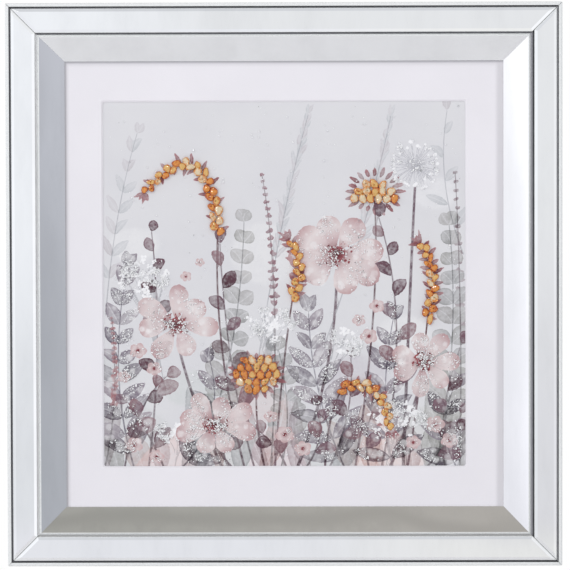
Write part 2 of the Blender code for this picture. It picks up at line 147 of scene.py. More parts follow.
CHIP_LEVEL = 0.0005  # how far a chip may lie from its place
CHIP_TURN, CHIP_TWIST, CHIP_LEAN = 0.6, 0.25, 0.14  # how far a chip may be turned and leant, in radians
# The lumps round a chip (their height as a share of its size, and their count), those on its top, and how far down
# its round side it is cut flat.
CHIP_LUMPS = ((0.06, 2), (0.06, 3), (0.025, 5))
CHIP_TOP_LUMP, CHIP_TOP_PITCH = 0.00035, 800
CHIP_FLAT = -0.72
# A drilled hole in a chip, ring by ring from its middle: radius and depth.
HOLE_RINGS = ((0.0, 0.0022), (0.00062, 0.0021), (0.00074, 0.0002), (0.0011, 0.0))
HOLE_SUNK = 0.00012
# The three ambers: what they absorb, the painted shade at their rim and their density, and how many chips in all are
# of each.
AMBERS = {
    "deep": ("#F0932B", "#C24E08", 9.0, 0.26),
    "honey": ("#F9B64E", "#DC741A", 6.0, 0.46),
    "pale": ("#FBD38C", "#F09C3C", 4.0, 0.28),
}
CRUSTS = {
    "crushed_glass_large_flower": ((0.052, 0.030), 0.0098),
    "crushed_glass_left_flower": ((-0.108, -0.040), 0.0088),
    "crushed_glass_right_flower": ((0.138, -0.078), 0.0088),
    "crushed_glass_low_flower": ((-0.070, -0.140), 0.0078),
    "crushed_glass_seed_head": ((0.130, 0.118), 0.0098),
}
CRUST_RISE = 0.0016

# Printed layers from the lowest up: how each lies over those below it and how soft its edges are in mm.
WASHES = (
    ("mist", "MIX", 9.0),
    ("ghost", "MIX", 0.7),
    ("blades", "MULTIPLY", 0.9),
    ("foliage", "MULTIPLY", 0.7),
    ("slate_low", "MULTIPLY", 0.7),
    ("slate_high", "MIX", 0.7),
    ("stems", "MULTIPLY", 0.5),
    ("plum", "MIX", 0.6),
    ("lace", "MIX", 0.6),
    ("petals_low", "MIX", 0.8),
    ("petals_high", "MIX", 0.8),
    ("frost", "MIX", 2.2),
    ("hearts", "MIX", 0.6),
)
PRINT_MARGIN = 0.0012  # how far the fine net of points runs on behind the mat, in metres
SOFT = 2.0  # layers softer than this, in mm, have neither a darker edge nor a midrib
OPAQUE = ("lace", "petals_low", "petals_high", "hearts")
FAR_OUTSIDE = -9.0  # mm
# Where a whitish film of glass dust lies on the paint: the layer, how many patches, how far inside its strokes in mm.
FROST_PATCHES = (
    ("slate_low", 120, 1.0),
    ("slate_high", 120, 1.0),
    ("petals_low", 70, 2.0),
    ("petals_high", 70, 2.0),
)
# Where loose grains lie: the painted layer, how thickly, and how far inside its strokes in mm.
GRAIN_SHARES = (
    ("slate_low", 0.30, 0.6),
    ("slate_high", 0.30, 0.6),
    ("lace", 0.6, -1.0),
    ("petals_low", 0.18, 0.8),
    ("petals_high", 0.18, 0.8),
    ("hearts", 0.7, -0.5),
)
GRAINS_ELSEWHERE = 0.006
GRAIN_MARGIN, GRAIN_STRAY = 0.004, 0.0006
SPLINTER_UNEVEN = (0.70, 1.18)
SPLINTER_STRETCH = ((0.8, 1.5), (0.6, 1.0), (0.4, 0.8))  # along, across and through it

# The paints, each stroke running from the first tone to the last.
GHOST = (("#BDC0C4", "#CFD0D4"), ("#C4C0C4", "#CFCCD1"))
SAGE = (("#B0B0AB", "#C4C3BF"), ("#BAB8B5", "#CCCAC7"), ("#ABACAA", "#C0C0BE"))
SLATE = (("#7D7480", "#9D949E"), ("#8B828D", "#ABA2AA"), ("#716875", "#938995"), ("#918A93", "#B6AFB6"))
PLUM = (("#573A46", "#70515D"), ("#654754", "#81626E"), ("#4A2D38", "#62424D"), ("#75545C", "#92737A"))
BLADES = (("#B6B6B3", "#CBCAC7"), ("#C0C1C4", "#D4D5D6"), ("#C6BCBF", "#D8D0D2"), ("#DAC5C1", "#E6D7D3"))
WINE = (("#6B3238", "#9C6A70"), ("#7C464B", "#B08489"))
PETALS = (
    ("#9C6E72", "#D6C6C7", "#E2D8D8", "#BE9C9E"),
    ("#A57A7D", "#DCCFCF", "#D6C6C7", "#B89396"),
    ("#946468", "#CAB2B4", "#DDD2D2", "#CCB6B7"),
)
BLOSSOM = ("#A97C80", "#DACBCB", "#C5A4A6")
PALE_STEM = ("#C4C5C9", "#D0D0D4")
DARK_STEM = ("#6B5560", "#7E6470")

# The picture, in mm from the window's middle. Mists: across, up, radius and tone.
MISTS = (
    (-158, -150, 44, "#D5D6D8"), (-112, -172, 40, "#E6D6D5"), (-62, -160, 46, "#D8D8D8"), (-8, -170, 42, "#E1D7DA"),
    (46, -160, 44, "#D6D8D9"), (100, -170, 42, "#E8D7D4"), (150, -150, 46, "#D8D8D8"), (176, -96, 34, "#DADADB"),
    (-176, -84, 32, "#D0D2D4"), (70, -96, 34, "#D0CDD3"), (-30, -120, 32, "#D9D0D1"), (-92, -104, 30, "#D3D6D7"),
    (118, -52, 28, "#E6E6E8"), (-20, 30, 34, "#E4E4E6"), (-150, 40, 26, "#E5E5E7"), (150, 90, 24, "#E4E4E7"),
)
# Branches of a kind: their settings, and for each the curve (root, bend and tip), the number and length of its leaves.
FAR_BRANCHES = (
    (dict(wide=5.5, tones=GHOST, layers=("ghost",), splay=26, start=0.42, stem=PALE_STEM, thick=(1.4, 0.8),
          strength=0.9),
     ((((-30, -100), (-6, 60), (24, 168)), 17, 24), (((40, -60), (84, 60), (106, 166)), 17, 24))),
    (dict(wide=10, tones=GHOST, layers=("ghost",), paired=False, stem=PALE_STEM, thick=(1.3, 0.8)),
     ((((178, 30), (150, 100), (162, 172)), 6, 30),)),
    (dict(wide=9, tones=GHOST, layers=("ghost",), splay=40, stem=PALE_STEM, thick=(1.3, 0.8)),
     ((((-178, -30), (-170, 70), (-146, 150)), 8, 27),)),
)
NEAR_BRANCHES = (
    (dict(wide=19, tones=SAGE, layers=("foliage",), splay=58, fullness=0.6, widest=0.52),
     ((((-90, -184), (-44, -80), (-40, 62)), 12, 27), (((150, -184), (176, -60), (164, 58)), 11, 27),
      (((-4, -184), (10, -130), (-6, -66)), 7, 27))),
    (dict(wide=15.5, tones=SLATE, layers=("slate_low", "slate_high"), splay=56, start=0.08,
          stem=("#77707F", "#938C9B"), strength=0.98),
     ((((-150, -184), (-178, -90), (-156, 18)), 11, 36), (((60, -184), (26, -110), (24, -28)), 9, 42),
      (((108, -184), (92, -120), (108, -36)), 7, 42), (((-104, -184), (-58, -140), (-74, -78)), 5, 36),
      (((172, -184), (150, -150), (168, -104)), 4, 38))),
    (dict(wide=15.5, tones=PLUM, layers=("plum",), paired=False, start=0.30, widest=0.55, stem=DARK_STEM,
          thick=(2.2, 1.2), strength=0.98, fullness=0.62, rib=False),
     ((((96, -184), (128, -40), (94, 66)), 9, 30), (((-30, -184), (-58, -90), (-64, 40)), 9, 29),
      (((-120, -184), (-134, -150), (-156, -118)), 4, 27), (((20, -184), (40, -160), (34, -122)), 4, 27),
      (((-160, -184), (-150, -120), (-118, -92)), 5, 27), (((84, -184), (76, -150), (90, -122)), 4, 26),
      (((2, -184), (-6, -160), (-34, -140)), 4, 25), (((140, -184), (160, -164), (176, -130)), 4, 26),
      (((-136, -184), (-120, -60), (-132, 52)), 9, 27), (((44, -184), (70, -130), (66, -74)), 5, 27),
      (((-56, -184), (-72, -150), (-40, -118)), 4, 25), (((160, -184), (150, -130), (176, -60)), 5, 26))),
)
# Spikes: the curve, the buds' tones, their layer and their length.
SPIKES = (
    (((-14, -184), (-2, 0), (-22, 108)), (("#8A6A72", "#A98A92"), ("#75535D", "#9C7C85")), "plum", 6.4),
    (((174, -184), (178, -40), (170, 110)), (("#A08C90", "#BDABAF"),), "foliage", 6.4),
    (((-180, -184), (-164, -120), (-172, -34)), (("#8F5D62", "#B58A8D"),), "plum", 5.4),
)
# Stems of the flowers, then of the beaded sprays: their thickness at the root and tip, their tones and curves.
STEMS = (
    ((3.4, 2.6), DARK_STEM,
     (((12, -184), (50, -90), (52, 6)), ((-62, -184), (-92, -120), (-106, -60)),
      ((104, -184), (124, -140), (136, -96)), ((-52, -184), (-62, -174), (-68, -160)),
      ((118, -184), (124, -20), (130, 96)))),
    ((2.4, 1.7), ("#7E6470", "#6B4044"),
     (((-40, -184), (-72, -60), (-66, 56)), ((122, -184), (134, -110), (143, -30)),
      ((-10, -184), (-4, -90), (9, -8)), ((40, -184), (42, -130), (58, -103)),
      ((70, -184), (96, -20), (90, 82)), ((-20, -184), (-30, -140), (-28, -104)))),
)
# Small blossoms: across, up and radius.
BLOSSOMS = (
    (-146, -66, 9), (-130, -84, 8), (-160, -92, 7), (92, -22, 8), (74, -36, 7), (84, -52, 9), (0, -150, 10),
    (18, -164, 9), (-14, -132, 7), (150, -140, 10), (164, -156, 9), (128, -158, 8), (-150, -160, 9),
    (-128, -172, 8), (-98, 8, 6), (-84, 22, 5),
)
# Clouds of lace: the foot of their stalks, their middle, their spread and how many flowers they hold.
LACE = (
    ((-20, -110), (-14, -40), (24, 17), 64), ((100, -184), (112, -136), (30, 18), 66),
    ((-120, -100), (-140, 6), (26, 20), 62), ((-110, -184), (-104, -146), (24, 14), 46),
    ((30, -120), (60, -58), (20, 15), 44),
)
# Large flowers: middle, petal length, petal count, turn in degrees and how far the flower is tipped back.
FLOWERS = (
    ((52, 30), 50, 8, 10, 0.86),
    ((-108, -40), 42, 7, 40, 0.90),
    ((138, -78), 36, 7, 0, 0.92),
    ((-70, -140), 40, 8, 25, 0.80),
)
SEED_HEAD = ((130, 118), 23)
BLADE_FOOT = -192


def linear(code):
    """An sRGB hex code as linear RGBA."""
    parts = [int(code[i : i + 2], 16) / 255 for i in (1, 3, 5)]
    return (*((c / 12.92 if c <= 0.04045 else ((c + 0.055) / 1.055) ** 2.4) for c in parts), 1.0)


# What nodes are set to unless a call says otherwise.
USUAL = {
    "MapRange": {"interpolation_type": "SMOOTHSTEP"},
    "Mix": {"data_type": "RGBA", "out": 2},
    "TexCoord": {"out": "Object"},
    "Attribute": {"out": "Fac"},
}


def add(tree, kind, inputs=(), **settings):
    """Adds a node with its settings and gives one of its outputs. Its inputs are values or other nodes' outputs, in
    order or by name."""
    node = tree.nodes.new(f"ShaderNode{kind}")
    settings = {"out": 0, **USUAL.get(kind, {}), **settings}
    out = settings.pop("out")
    for name, value in settings.items():
        setattr(node, name, value)
    for name, value in inputs.items() if isinstance(inputs, dict) else enumerate(inputs):
        if isinstance(value, bpy.types.NodeSocket):
            tree.links.new(value, node.inputs[name])
        else:
            node.inputs[name].default_value = value
    return node.outputs[out] if node.outputs else node


def grain(tree, period, detail=3.0, roughness=0.5, stretch=(1, 1, 1)):
    """A cloudy pattern fixed to the piece, with features about that many metres across."""
    place = add(tree, "Mapping", {"Vector": add(tree, "TexCoord"), "Scale": stretch})
    return add(tree, "TexNoise", {"Vector": place, "Scale": 1 / period, "Detail": detail, "Roughness": roughness})


def turn_to(tree, colour, other, *edges, share=1.0):
    """The colour, going over to the other one where every value has run from its first to its last number."""
    factor = None
    for value, first, last in edges:
        step = add(tree, "MapRange", (value, first, last, 0.0, share))
        factor = add(tree, "Math", (factor, step), operation="MULTIPLY") if factor else step
    colour, other = (linear(c) if isinstance(c, str) else c for c in (colour, other))
    return add(tree, "Mix", {0: factor, 6: colour, 7: other})


def dim(tree, colour, ramp, kind="SMOOTHSTEP"):
    """The colour times what the ramp gives: (value, first, last, factor at the first, factor at the last)."""
    factor = add(tree, "MapRange", ramp, interpolation_type=kind)
    return add(tree, "Mix", {0: 1.0, 6: colour, 7: factor}, blend_type="MULTIPLY")


def new_material(name, **inputs):
    """A material whose shader has those inputs, and its node tree."""
    material = bpy.data.materials.new(name)
    material.use_nodes = True
    tree = material.node_tree
    for key, value in inputs.items():
        tree.nodes["Principled BSDF"].inputs[key.replace("_", " ")].default_value = value
    return material, tree


def finish(tree, colour, rough=None, relief=None):
    """Gives the shader its colour, its roughness as a ramp over a pattern and its relief as (pattern, height in
    metres, strength)."""
    inputs = tree.nodes["Principled BSDF"].inputs
    tree.links.new(colour, inputs["Base Color"])
    if rough:
        tree.links.new(add(tree, "MapRange", rough), inputs["Roughness"])
    if relief:
        height, distance, strength = relief
        bump = add(tree, "Bump", {"Height": height, "Distance": distance, "Strength": strength})
        tree.links.new(bump, inputs["Normal"])


def silvered_mirror():
    """Silvered glass: a clean bright reflection, with the faint waviness and wiped film of real strips."""
    material, tree = new_material("silvered_mirror", Metallic=1.0)
    film = grain(tree, 0.035, 4.0, 0.6, (1, 1, 0.35))
    tint = turn_to(tree, "#F4F6F8", "#EDEFF1", (film, 0.35, 0.75))
    finish(tree, tint, (film, 0.4, 0.8, 0.015, 0.055), (grain(tree, 0.16, 1.0), 0.0012, 0.35))
    return material


def polished_edge():
    """The cut edges of the glass: ground smooth, pale and slightly green, catching light along each strip."""
    material, tree = new_material("polished_glass_edge", IOR=1.52)
    grind = grain(tree, 0.0009, 2.0)
    tint = turn_to(tree, "#DEE1E1", "#EEF0F0", (grind, 0.3, 0.7))
    finish(tree, tint, (grind, 0.3, 0.7, 0.16, 0.34), (grind, 0.00005, 0.4))
    return material


def backing_paint():
    """Grey lacquer that seals the silver on the back of each strip."""
    material, tree = new_material("mirror_backing_paint", Roughness=0.55)
    finish(tree, turn_to(tree, "#6A6C6E", "#7C7E80", (grain(tree, 0.004), 0.3, 0.7)))
    return material


def core_board(side):
    """Painted fibreboard of the core: matt, with a roller's fine stipple. Its joints are dark. Their tone by side is
    painted light and shade: paler where light falls into a joint or the glass edges reflect into it, darker where it
    lies in shade."""
    material, tree = new_material(f"painted_board_joint_light_{side}", Roughness=0.6)
    _, (across, up), _ = SIDES[side]
    place = add(tree, "SeparateXYZ", (add(tree, "TexCoord"),), out="X" if across else "Z")
    inwards = add(tree, "Math", (place, across or up), operation="SUBTRACT")
    inwards = add(tree, "Math", (inwards,), operation="ABSOLUTE")
    # Painted light and shade in the joints, a different set for each side.
    outer, inner, by_slope = JOINT_PAINTED_LIGHT[side]
    tint = turn_to(tree, outer, inner, (inwards, *JOINT_INNER_FROM))
    tint = turn_to(tree, tint, by_slope, (inwards, *JOINT_BY_SLOPE_FROM))
    tint = turn_to(tree, tint, "#9A9BA0", (grain(tree, 0.03, 4.0), 0.4, 0.75), share=0.15)
    finish(tree, tint, relief=(grain(tree, 0.0012, 2.0), 0.00008, 0.6))
    return material


def mat_board(colour):
    """White mat board: smooth matt paper with faint fibres and a slow unevenness in its tone, with painted shade along
    its outer edge, where the strips stand over it."""
    material, tree = new_material("white_mat_board", Roughness=0.88, Specular_IOR_Level=0.3)
    fibres = grain(tree, 0.0011, 3.0, 0.6, (1, 1, 2.6))
    tint = turn_to(tree, colour, "#E9E7EC", (grain(tree, 0.09), 0.35, 0.7))
    tint = turn_to(tree, tint, "#D2D2D6", (fibres, 0.45, 0.8), share=0.12)
    # Painted shade: the board darkens towards the strips, most in a thin line at their foot.
    for axis, start, full, tone in MAT_PAINTED_SHADE:
        place = add(tree, "SeparateXYZ", (add(tree, "TexCoord"),), out=axis)
        tint = turn_to(tree, tint, tone, (place, start, full))
    finish(tree, tint, relief=(fibres, 0.00004, 0.5))
    return material


def grey_card():
    """Unbleached grey backing card with dark and light flecks of pulp."""
    material, tree = new_material("grey_pulp_card", Roughness=0.92)
    pulp = grain(tree, 0.0016, 4.0, 0.7, (1, 1, 0.5))
    finish(tree, turn_to(tree, "#8F887B", "#B0A999", (pulp, 0.35, 0.7)), relief=(pulp, 0.00006, 0.5))
    return material


def hardboard(colour):
    """Brown pressed hardboard: smooth face, mottled fibres and a few darker scuffs."""
    material, tree = new_material("brown_hardboard")
    fibres, cloud = grain(tree, 0.0014, 4.0, 0.7, (0.45, 1, 1)), grain(tree, 0.07, 4.0, 0.6)
    tint = turn_to(tree, colour, "#8C6644", (fibres, 0.3, 0.72))
    tint = turn_to(tree, tint, "#5A3D27", (cloud, 0.4, 0.75), share=0.2)
    finish(tree, tint, (cloud, 0.3, 0.7, 0.42, 0.62), (fibres, 0.00005, 0.5))
    return material


def zinc_steel():
    """Zinc-plated steel: pale, slightly blue-yellow spangle with fine rubbed scratches."""
    material, tree = new_material("zinc_plated_steel", Metallic=1.0)
    rubbed = grain(tree, 0.0004, 2.0, stretch=(0.3, 1, 1))
    tint = turn_to(tree, "#B9BCC0", "#CCC9BC", (grain(tree, 0.0030, 2.0), 0.35, 0.65))
    finish(tree, tint, (rubbed, 0.3, 0.7, 0.24, 0.42), (rubbed, 0.000006, 0.3))
    return material


def amber(name, middle, rim, absorbed, density):
    """Tumbled amber resin: a painted glow in the middle and painted shade deepening towards its rim stand in for the
    light that comes back from the paper through it. It also has faint clouds inside and a glossy skin."""
    material, tree = new_material(
        name, Roughness=0.06, IOR=1.54, Transmission_Weight=0.38, Coat_Weight=0.6, Coat_Roughness=0.03
    )
    cloud = (grain(tree, 0.0030, 3.0, 0.6), 0.3, 0.7, -0.46, 0.44)
    cloud = add(tree, "MapRange", cloud)
    # Painted light: the colour turns from the glowing middle to the shaded rim by how near the rim a point lies.
    depth = add(tree, "Attribute", attribute_name="rim")
    depth = add(tree, "Math", (depth, cloud), operation="ADD")
    finish(tree, turn_to(tree, middle, rim, (depth, 0.15, 0.95)), relief=(grain(tree, 0.0022, 2.0), 0.00012, 0.5))
    absorb = add(tree, "VolumeAbsorption", {"Color": linear(absorbed), "Density": density})
    tree.links.new(absorb, tree.nodes["Material Output"].inputs["Volume"])
    return material


def crushed_glass(name, clear, roughness):
    """Crushed clear glass: sharp bright facets, whitened where the glass is bruised."""
    material, tree = new_material(name, Roughness=roughness, IOR=1.5, Transmission_Weight=clear)
    finish(tree, turn_to(tree, "#FFFFFF", "#F4F6F8", (grain(tree, 0.0016, 1.0), 0.3, 0.7)))
    return material


def painted_print(ground):
    """A matt print of a watercolour: pigment pools at each stroke's edge, thins inside it, leaves a pale midrib and
    sits in the paper's tooth. The panel's points hold each layer's distance inside its strokes in mm, its distance
    from their middle line and its pigment."""
    material, tree = new_material("watercolour_print", Roughness=0.82, Specular_IOR_Level=0.35)
    fine, pool = grain(tree, 0.0026, 4.0, 0.65), grain(tree, 0.012, 3.0, 0.6)
    wobble = add(tree, "Math", (fine, 0.5), operation="SUBTRACT")
    flow = add(tree, "Math", (fine, pool), operation="ADD")
    glaze = add(tree, "MapRange", (flow, 0.70, 1.30, 0.58, 1.12))
    gouache = add(tree, "MapRange", (flow, 0.70, 1.30, 0.90, 1.12))
    colour = turn_to(tree, ground, "#DDDDE0", (grain(tree, 0.075), 0.3, 0.7))
    for name, mode, soft in WASHES:
        inside = add(tree, "Attribute", attribute_name=f"{name}_inside")
        side = add(tree, "Attribute", attribute_name=f"{name}_side")
        pigment = add(tree, "Attribute", out="Color", attribute_name=f"{name}_pigment")
        away = add(tree, "Math", (side,), operation="ABSOLUTE")
        strength = gouache if name in OPAQUE else glaze
        if name == "stems":
            ragged = add(tree, "Math", (wobble, 0.7, away), operation="MULTIPLY_ADD")
            cover = add(tree, "MapRange", (ragged, 0.65, 1.25, 1.0, 0.0))
            ends = add(tree, "MapRange", (inside, -1.1, -0.4))
            cover = add(tree, "Math", (cover, ends), operation="MULTIPLY")
        else:
            edge = add(tree, "Math", (wobble, 1.9 + soft / 3, inside), operation="MULTIPLY_ADD")
            cover = add(tree, "MapRange", (edge, -0.35 * soft, 0.65 * soft))
            if soft < SOFT:
                rim = add(tree, "MapRange", (edge, 0.2, 1.9, 0.28, 0.0))
                rib = add(tree, "MapRange", (away, 0.25, 0.75, 0.34, 0.0))
                strength = add(tree, "Math", (strength, rim), operation="ADD")
                strength = add(tree, "Math", (strength, rib), operation="SUBTRACT")
        strength = add(tree, "Math", (strength, pigment.node.outputs["Alpha"]), operation="MULTIPLY")
        strength = add(tree, "Math", (strength, cover), operation="MULTIPLY")
        strength = add(tree, "Math", (strength, 1.0), operation="MINIMUM")
        colour = add(tree, "Mix", {0: strength, 6: colour, 7: pigment}, blend_type=mode)
    finish(tree, colour, relief=(grain(tree, 0.0009, 2.0, 0.6), 0.00007, 0.5))
    return material


def only(kind, geometry):
    return [part for part in geometry if isinstance(part, kind)]


def turned(heading, degrees):
    return Matrix.Rotation(math.radians(degrees), 2) @ heading


def new_mesh(name, bm):
    mesh = bpy.data.meshes.new(name)
    bm.normal_update()
    bm.to_mesh(mesh)
    bm.free()
    return mesh


def place_object(name, data):
    made = bpy.data.objects.new(name, data)
    bpy.context.scene.collection.objects.link(made)
    return made


def add_piece(mesh, materials, stands_for=()):
    """Makes a mesh a piece of the object: it rides on the frame and stands for its CAD nodes."""
    for material in materials:
        mesh.materials.append(material)
    mesh.update()
    piece = place_object(mesh.name, mesh)
    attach(piece, "root")
    if stands_for:
        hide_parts(*stands_for)


def read(items, field, width=1, kind=float):
    """One field of many points or faces, as an array with a row for each."""
    values = np.empty(len(items) * width, dtype=kind)
    items.foreach_get(field, values)
    return values.reshape(-1, width) if width > 1 else values


def note(mesh, name, values):
    """Notes a number or a colour for each point of a mesh, for its material."""
    kind, field = ("FLOAT_COLOR", "color") if values.ndim > 1 else ("FLOAT", "value")
    layer = mesh.attributes.new(name, kind, "POINT")
    layer.data.foreach_set(field, values.astype(np.float32).ravel())


def template(create, **settings):
    """The points and faces of a bmesh primitive, to be copied many times."""
    bm = bmesh.new()
    create(bm, **settings)
    bm.verts.index_update()
    points = np.array([v.co for v in bm.verts])
    faces = [[v.index for v in f.verts] for f in bm.faces]
    bm.free()
    return points, faces


def joined_mesh(name, copies, faces, tones, smooth=False):
    """One mesh of many copies of a template, each copy with its own points and its own material number."""
    many, size = copies.shape[:2]
    mesh = bpy.data.meshes.new(name)
    numbered = [[corner + size * copy for corner in face] for copy in range(many) for face in faces]
    mesh.from_pydata(copies.reshape(-1, 3).tolist(), [], numbered)
    mesh.polygons.foreach_set("material_index", np.repeat(tones, len(faces)).astype(np.int32))
    mesh.polygons.foreach_set("use_smooth", [smooth] * len(mesh.polygons))
    return mesh


def mitred_length(profile, half_length, gap):
    """A length of moulding along X with 45 degree ends; profile points are (distance inwards, y)."""
    bm = bmesh.new()
    end = bm.faces.new([bm.verts.new((-half_length, y, -inwards)) for inwards, y in profile])
    swept = bmesh.ops.extrude_face_region(bm, geom=[end])["geom"]
    bmesh.ops.translate(bm, vec=(2 * half_length, 0, 0), verts=only(BMVert, swept))
    set_back = gap / 2 * math.sqrt(2)
    for way in (-1, 1):
        found = bmesh.ops.bisect_plane(
            bm,
            geom=bm.verts[:] + bm.edges[:] + bm.faces[:],
            plane_co=(way * (half_length - set_back), 0, 0),
            plane_no=(way, 0, -1),
            clear_outer=True,
        )
        bmesh.ops.contextual_create(bm, geom=only(BMEdge, found["geom_cut"]))
    bmesh.ops.recalc_face_normals(bm, faces=bm.faces)
    return bm


def finish_strip(bm, mirror_way, arris, ends):
    """Marks the silvered, cut and lacquered faces of a strip, then rubs down its sharp edges; without ends, those at
    the mitres stay sharp."""
    for face in bm.faces:
        facing = face.normal.dot(mirror_way)
        face.material_index = MIRROR if facing > 0.8 else BACKING if facing < -0.8 else EDGE
    sharp = [e for e in bm.edges if e.calc_face_angle(0.0) > SHARP]
    if not ends:
        sharp = [e for e in sharp if abs(e.verts[0].co.x - e.verts[1].co.x) > 0.99 * e.calc_length()]
    made = bmesh.ops.bevel(bm, geom=sharp, offset=arris, affect="EDGES", segments=2, profile=0.5, material=-1)
    for face in made["faces"]:
        face.material_index = EDGE


def slope_profile():
    """The sloped strip's section as (inwards, y), and the way that its silvered face looks."""
    front_top = Vector((SLOPE_TOP, FRONT + SLOPE_SET_BACK))
    foot = Vector((SLOPE_FOOT, SLOPE_END))
    along = (foot - front_top).normalized()
    behind = Vector((-along.y, along.x))
    back_top = front_top + behind * SLOPE_THICK
    back_foot = back_top + along * ((SLOPE_END - back_top.y) / along.y)
    return [tuple(p) for p in (front_top, back_top, back_foot, foot)], (0, -behind.y, behind.x)


def build_strips(settings):
    materials = [silvered_mirror(), polished_edge(), backing_paint()]
    slope, slope_way = slope_profile()
    low_front, back = FRONT + FACE_BEVEL_DROP, FRONT + FACE_THICK
    front = FRONT + SIDE_GLASS_SET_BACK
    side_glass = [(0.0, SIDE_GLASS_BACK), (0.0, front + SIDE_ARRIS), (SIDE_ARRIS, front), (SIDE_GLASS, front),
                  (SIDE_GLASS, SIDE_GLASS_BACK)]
    for side, (turn, (across, up), half_length) in SIDES.items():
        inner = FACE_START + FACE_GLASS[side]
        face_glass = [(FACE_START, back), (FACE_START, low_front), (inner, low_front), (inner, back)]
        for name, node, profile, way in (
            ("face", "face", face_glass, (0, -1, 0)),
            ("sloped", "slope", slope, slope_way),
            ("side", "side", side_glass, (0, 0, 1)),
        ):
            bm = mitred_length(profile, half_length, SLOPE_MITRE_GAP if node == "slope" else GAP)
            if node == "face":
                face = min(bm.faces, key=lambda f: f.calc_center_median().y)
                bmesh.ops.inset_region(bm, faces=[face], thickness=settings.face_bevel, use_even_offset=True)
                bmesh.ops.translate(bm, vec=(0, -FACE_BEVEL_DROP, 0), verts=face.verts)
                bm.normal_update()
            finish_strip(bm, Vector(way), settings.arris, ends=node != "slope")
            bmesh.ops.rotate(bm, matrix=Matrix.Rotation(math.radians(turn), 3, "Y"), verts=bm.verts)
            bmesh.ops.translate(bm, vec=(across, 0, up), verts=bm.verts)
            mesh = new_mesh(f"mirror_{name}_strip_{side}", bm)
            add_piece(mesh, materials, [f"{node}_mirror_{side}"])


class Wash:
    """One layer of paint: for each point of the panel, how far it lies inside a stroke and from the stroke's middle
    line, and its pigment."""

    def __init__(self, across, up):
        self.across, self.up = across, up
        self.inside = np.full(len(across), FAR_OUTSIDE)
        self.side = np.full(len(across), -FAR_OUTSIDE)
        self.pigment = np.ones((len(across), 4))

    def near(self, middle, reach):
        return np.nonzero((np.abs(self.across - middle[0]) < reach) & (np.abs(self.up - middle[1]) < reach))[0]

    def lay(self, where, inside, side, tones, share, strength):
        """Lays pigment that runs through the tones by share, 0 to 1, where the stroke is deeper than what is there."""
        stops, codes = np.linspace(0, 1, len(tones)), np.array([linear(tone)[:3] for tone in tones])
        pigment = [np.interp(share, stops, codes[:, i]) for i in range(3)]
        pigment = np.column_stack([*pigment, np.broadcast_to(strength, len(where))])
        deeper = inside > self.inside[where]
        where = where[deeper]
        self.inside[where] = inside[deeper]
        self.side[where] = side[deeper]
        self.pigment[where] = pigment[deeper]

    def leaf(self, root, tip, width, tones, widest=0.45, fullness=0.8, bend=0.0, strength=0.9, streak=0.0, rib=True):
        """A leaf or petal from root to tip. widest is where it is broadest, from 0 at the root to 1."""
        root, tip = np.array(root, float), np.array(tip, float)
        length = np.hypot(*(tip - root))
        ahead = (tip - root) / length
        where = self.near((root + tip) / 2, length / 2 + width / 2 + abs(bend) + 3)
        if not len(where):
            return
        across, up = self.across[where] - root[0], self.up[where] - root[1]
        along, beside = across * ahead[0] + up * ahead[1], up * ahead[0] - across * ahead[1]
        share = np.clip(along / length, 0, 1)
        beside = beside - 4 * bend * share * (1 - share)
        power = math.log(0.5) / math.log(widest)
        half = width / 2 * np.sin(math.pi * share**power) ** fullness
        past = np.maximum(0, np.maximum(-along, along - length))
        inside = np.where(past > 0, -np.hypot(past, beside), half - np.abs(beside))
        folds = 0.5 + 0.5 * np.cos(beside / np.maximum(half, 1.0) * 7.0 + root[0])
        density = strength * (1 - streak * folds * (1 - 0.5 * share))
        self.lay(where, inside, beside if rib else np.full(len(where), -FAR_OUTSIDE), tones, share, density)

    def stem(self, root, bend, tip, thick, tones, strength=0.9):
        """A stem that thins from thick[0] at the root to thick[1] at its tip."""
        steps = 24
        points = [np.array(bend_point(root, bend, tip, i / steps)[0]) for i in range(steps + 1)]
        for i, (start, end) in enumerate(zip(points, points[1:])):
            run = end - start
            where = self.near((start + end) / 2, np.hypot(*run) + thick[0] + 3)
            if not len(where):
                continue
            offset = np.column_stack([self.across[where] - start[0], self.up[where] - start[1]])
            share = np.clip(offset @ run / (run @ run), 0, 1)
            away = np.hypot(*(offset - share[:, None] * run).T)
            hand = np.sign(offset[:, 1] * run[0] - offset[:, 0] * run[1])
            along = (i + share) / steps
            half = thick[0] / 2 * (1 - along) + thick[1] / 2 * along
            self.lay(where, half - away, hand * away / half, tones, along, strength)

    def dot(self, middle, radius, tones, strength=0.9, tipped=1.0):
        where = self.near(middle, radius + 9)
        away = np.hypot(self.across[where] - middle[0], (self.up[where] - middle[1]) / tipped)
        self.lay(where, radius - away, away + 2, tones, np.clip(away / radius, 0, 1), strength)


def bend_point(root, bend, tip, along):
    """A point of the curve from root to tip, drawn towards bend, and its direction there."""
    root, bend, tip = Vector(root), Vector(bend), Vector(tip)
    point = root * (1 - along) ** 2 + bend * 2 * along * (1 - along) + tip * along**2
    heading = (bend - root) * (1 - along) + (tip - bend) * along
    return point, heading.normalized()


def around(angle, tipped=1.0):
    return Vector((math.cos(angle), math.sin(angle) * tipped))


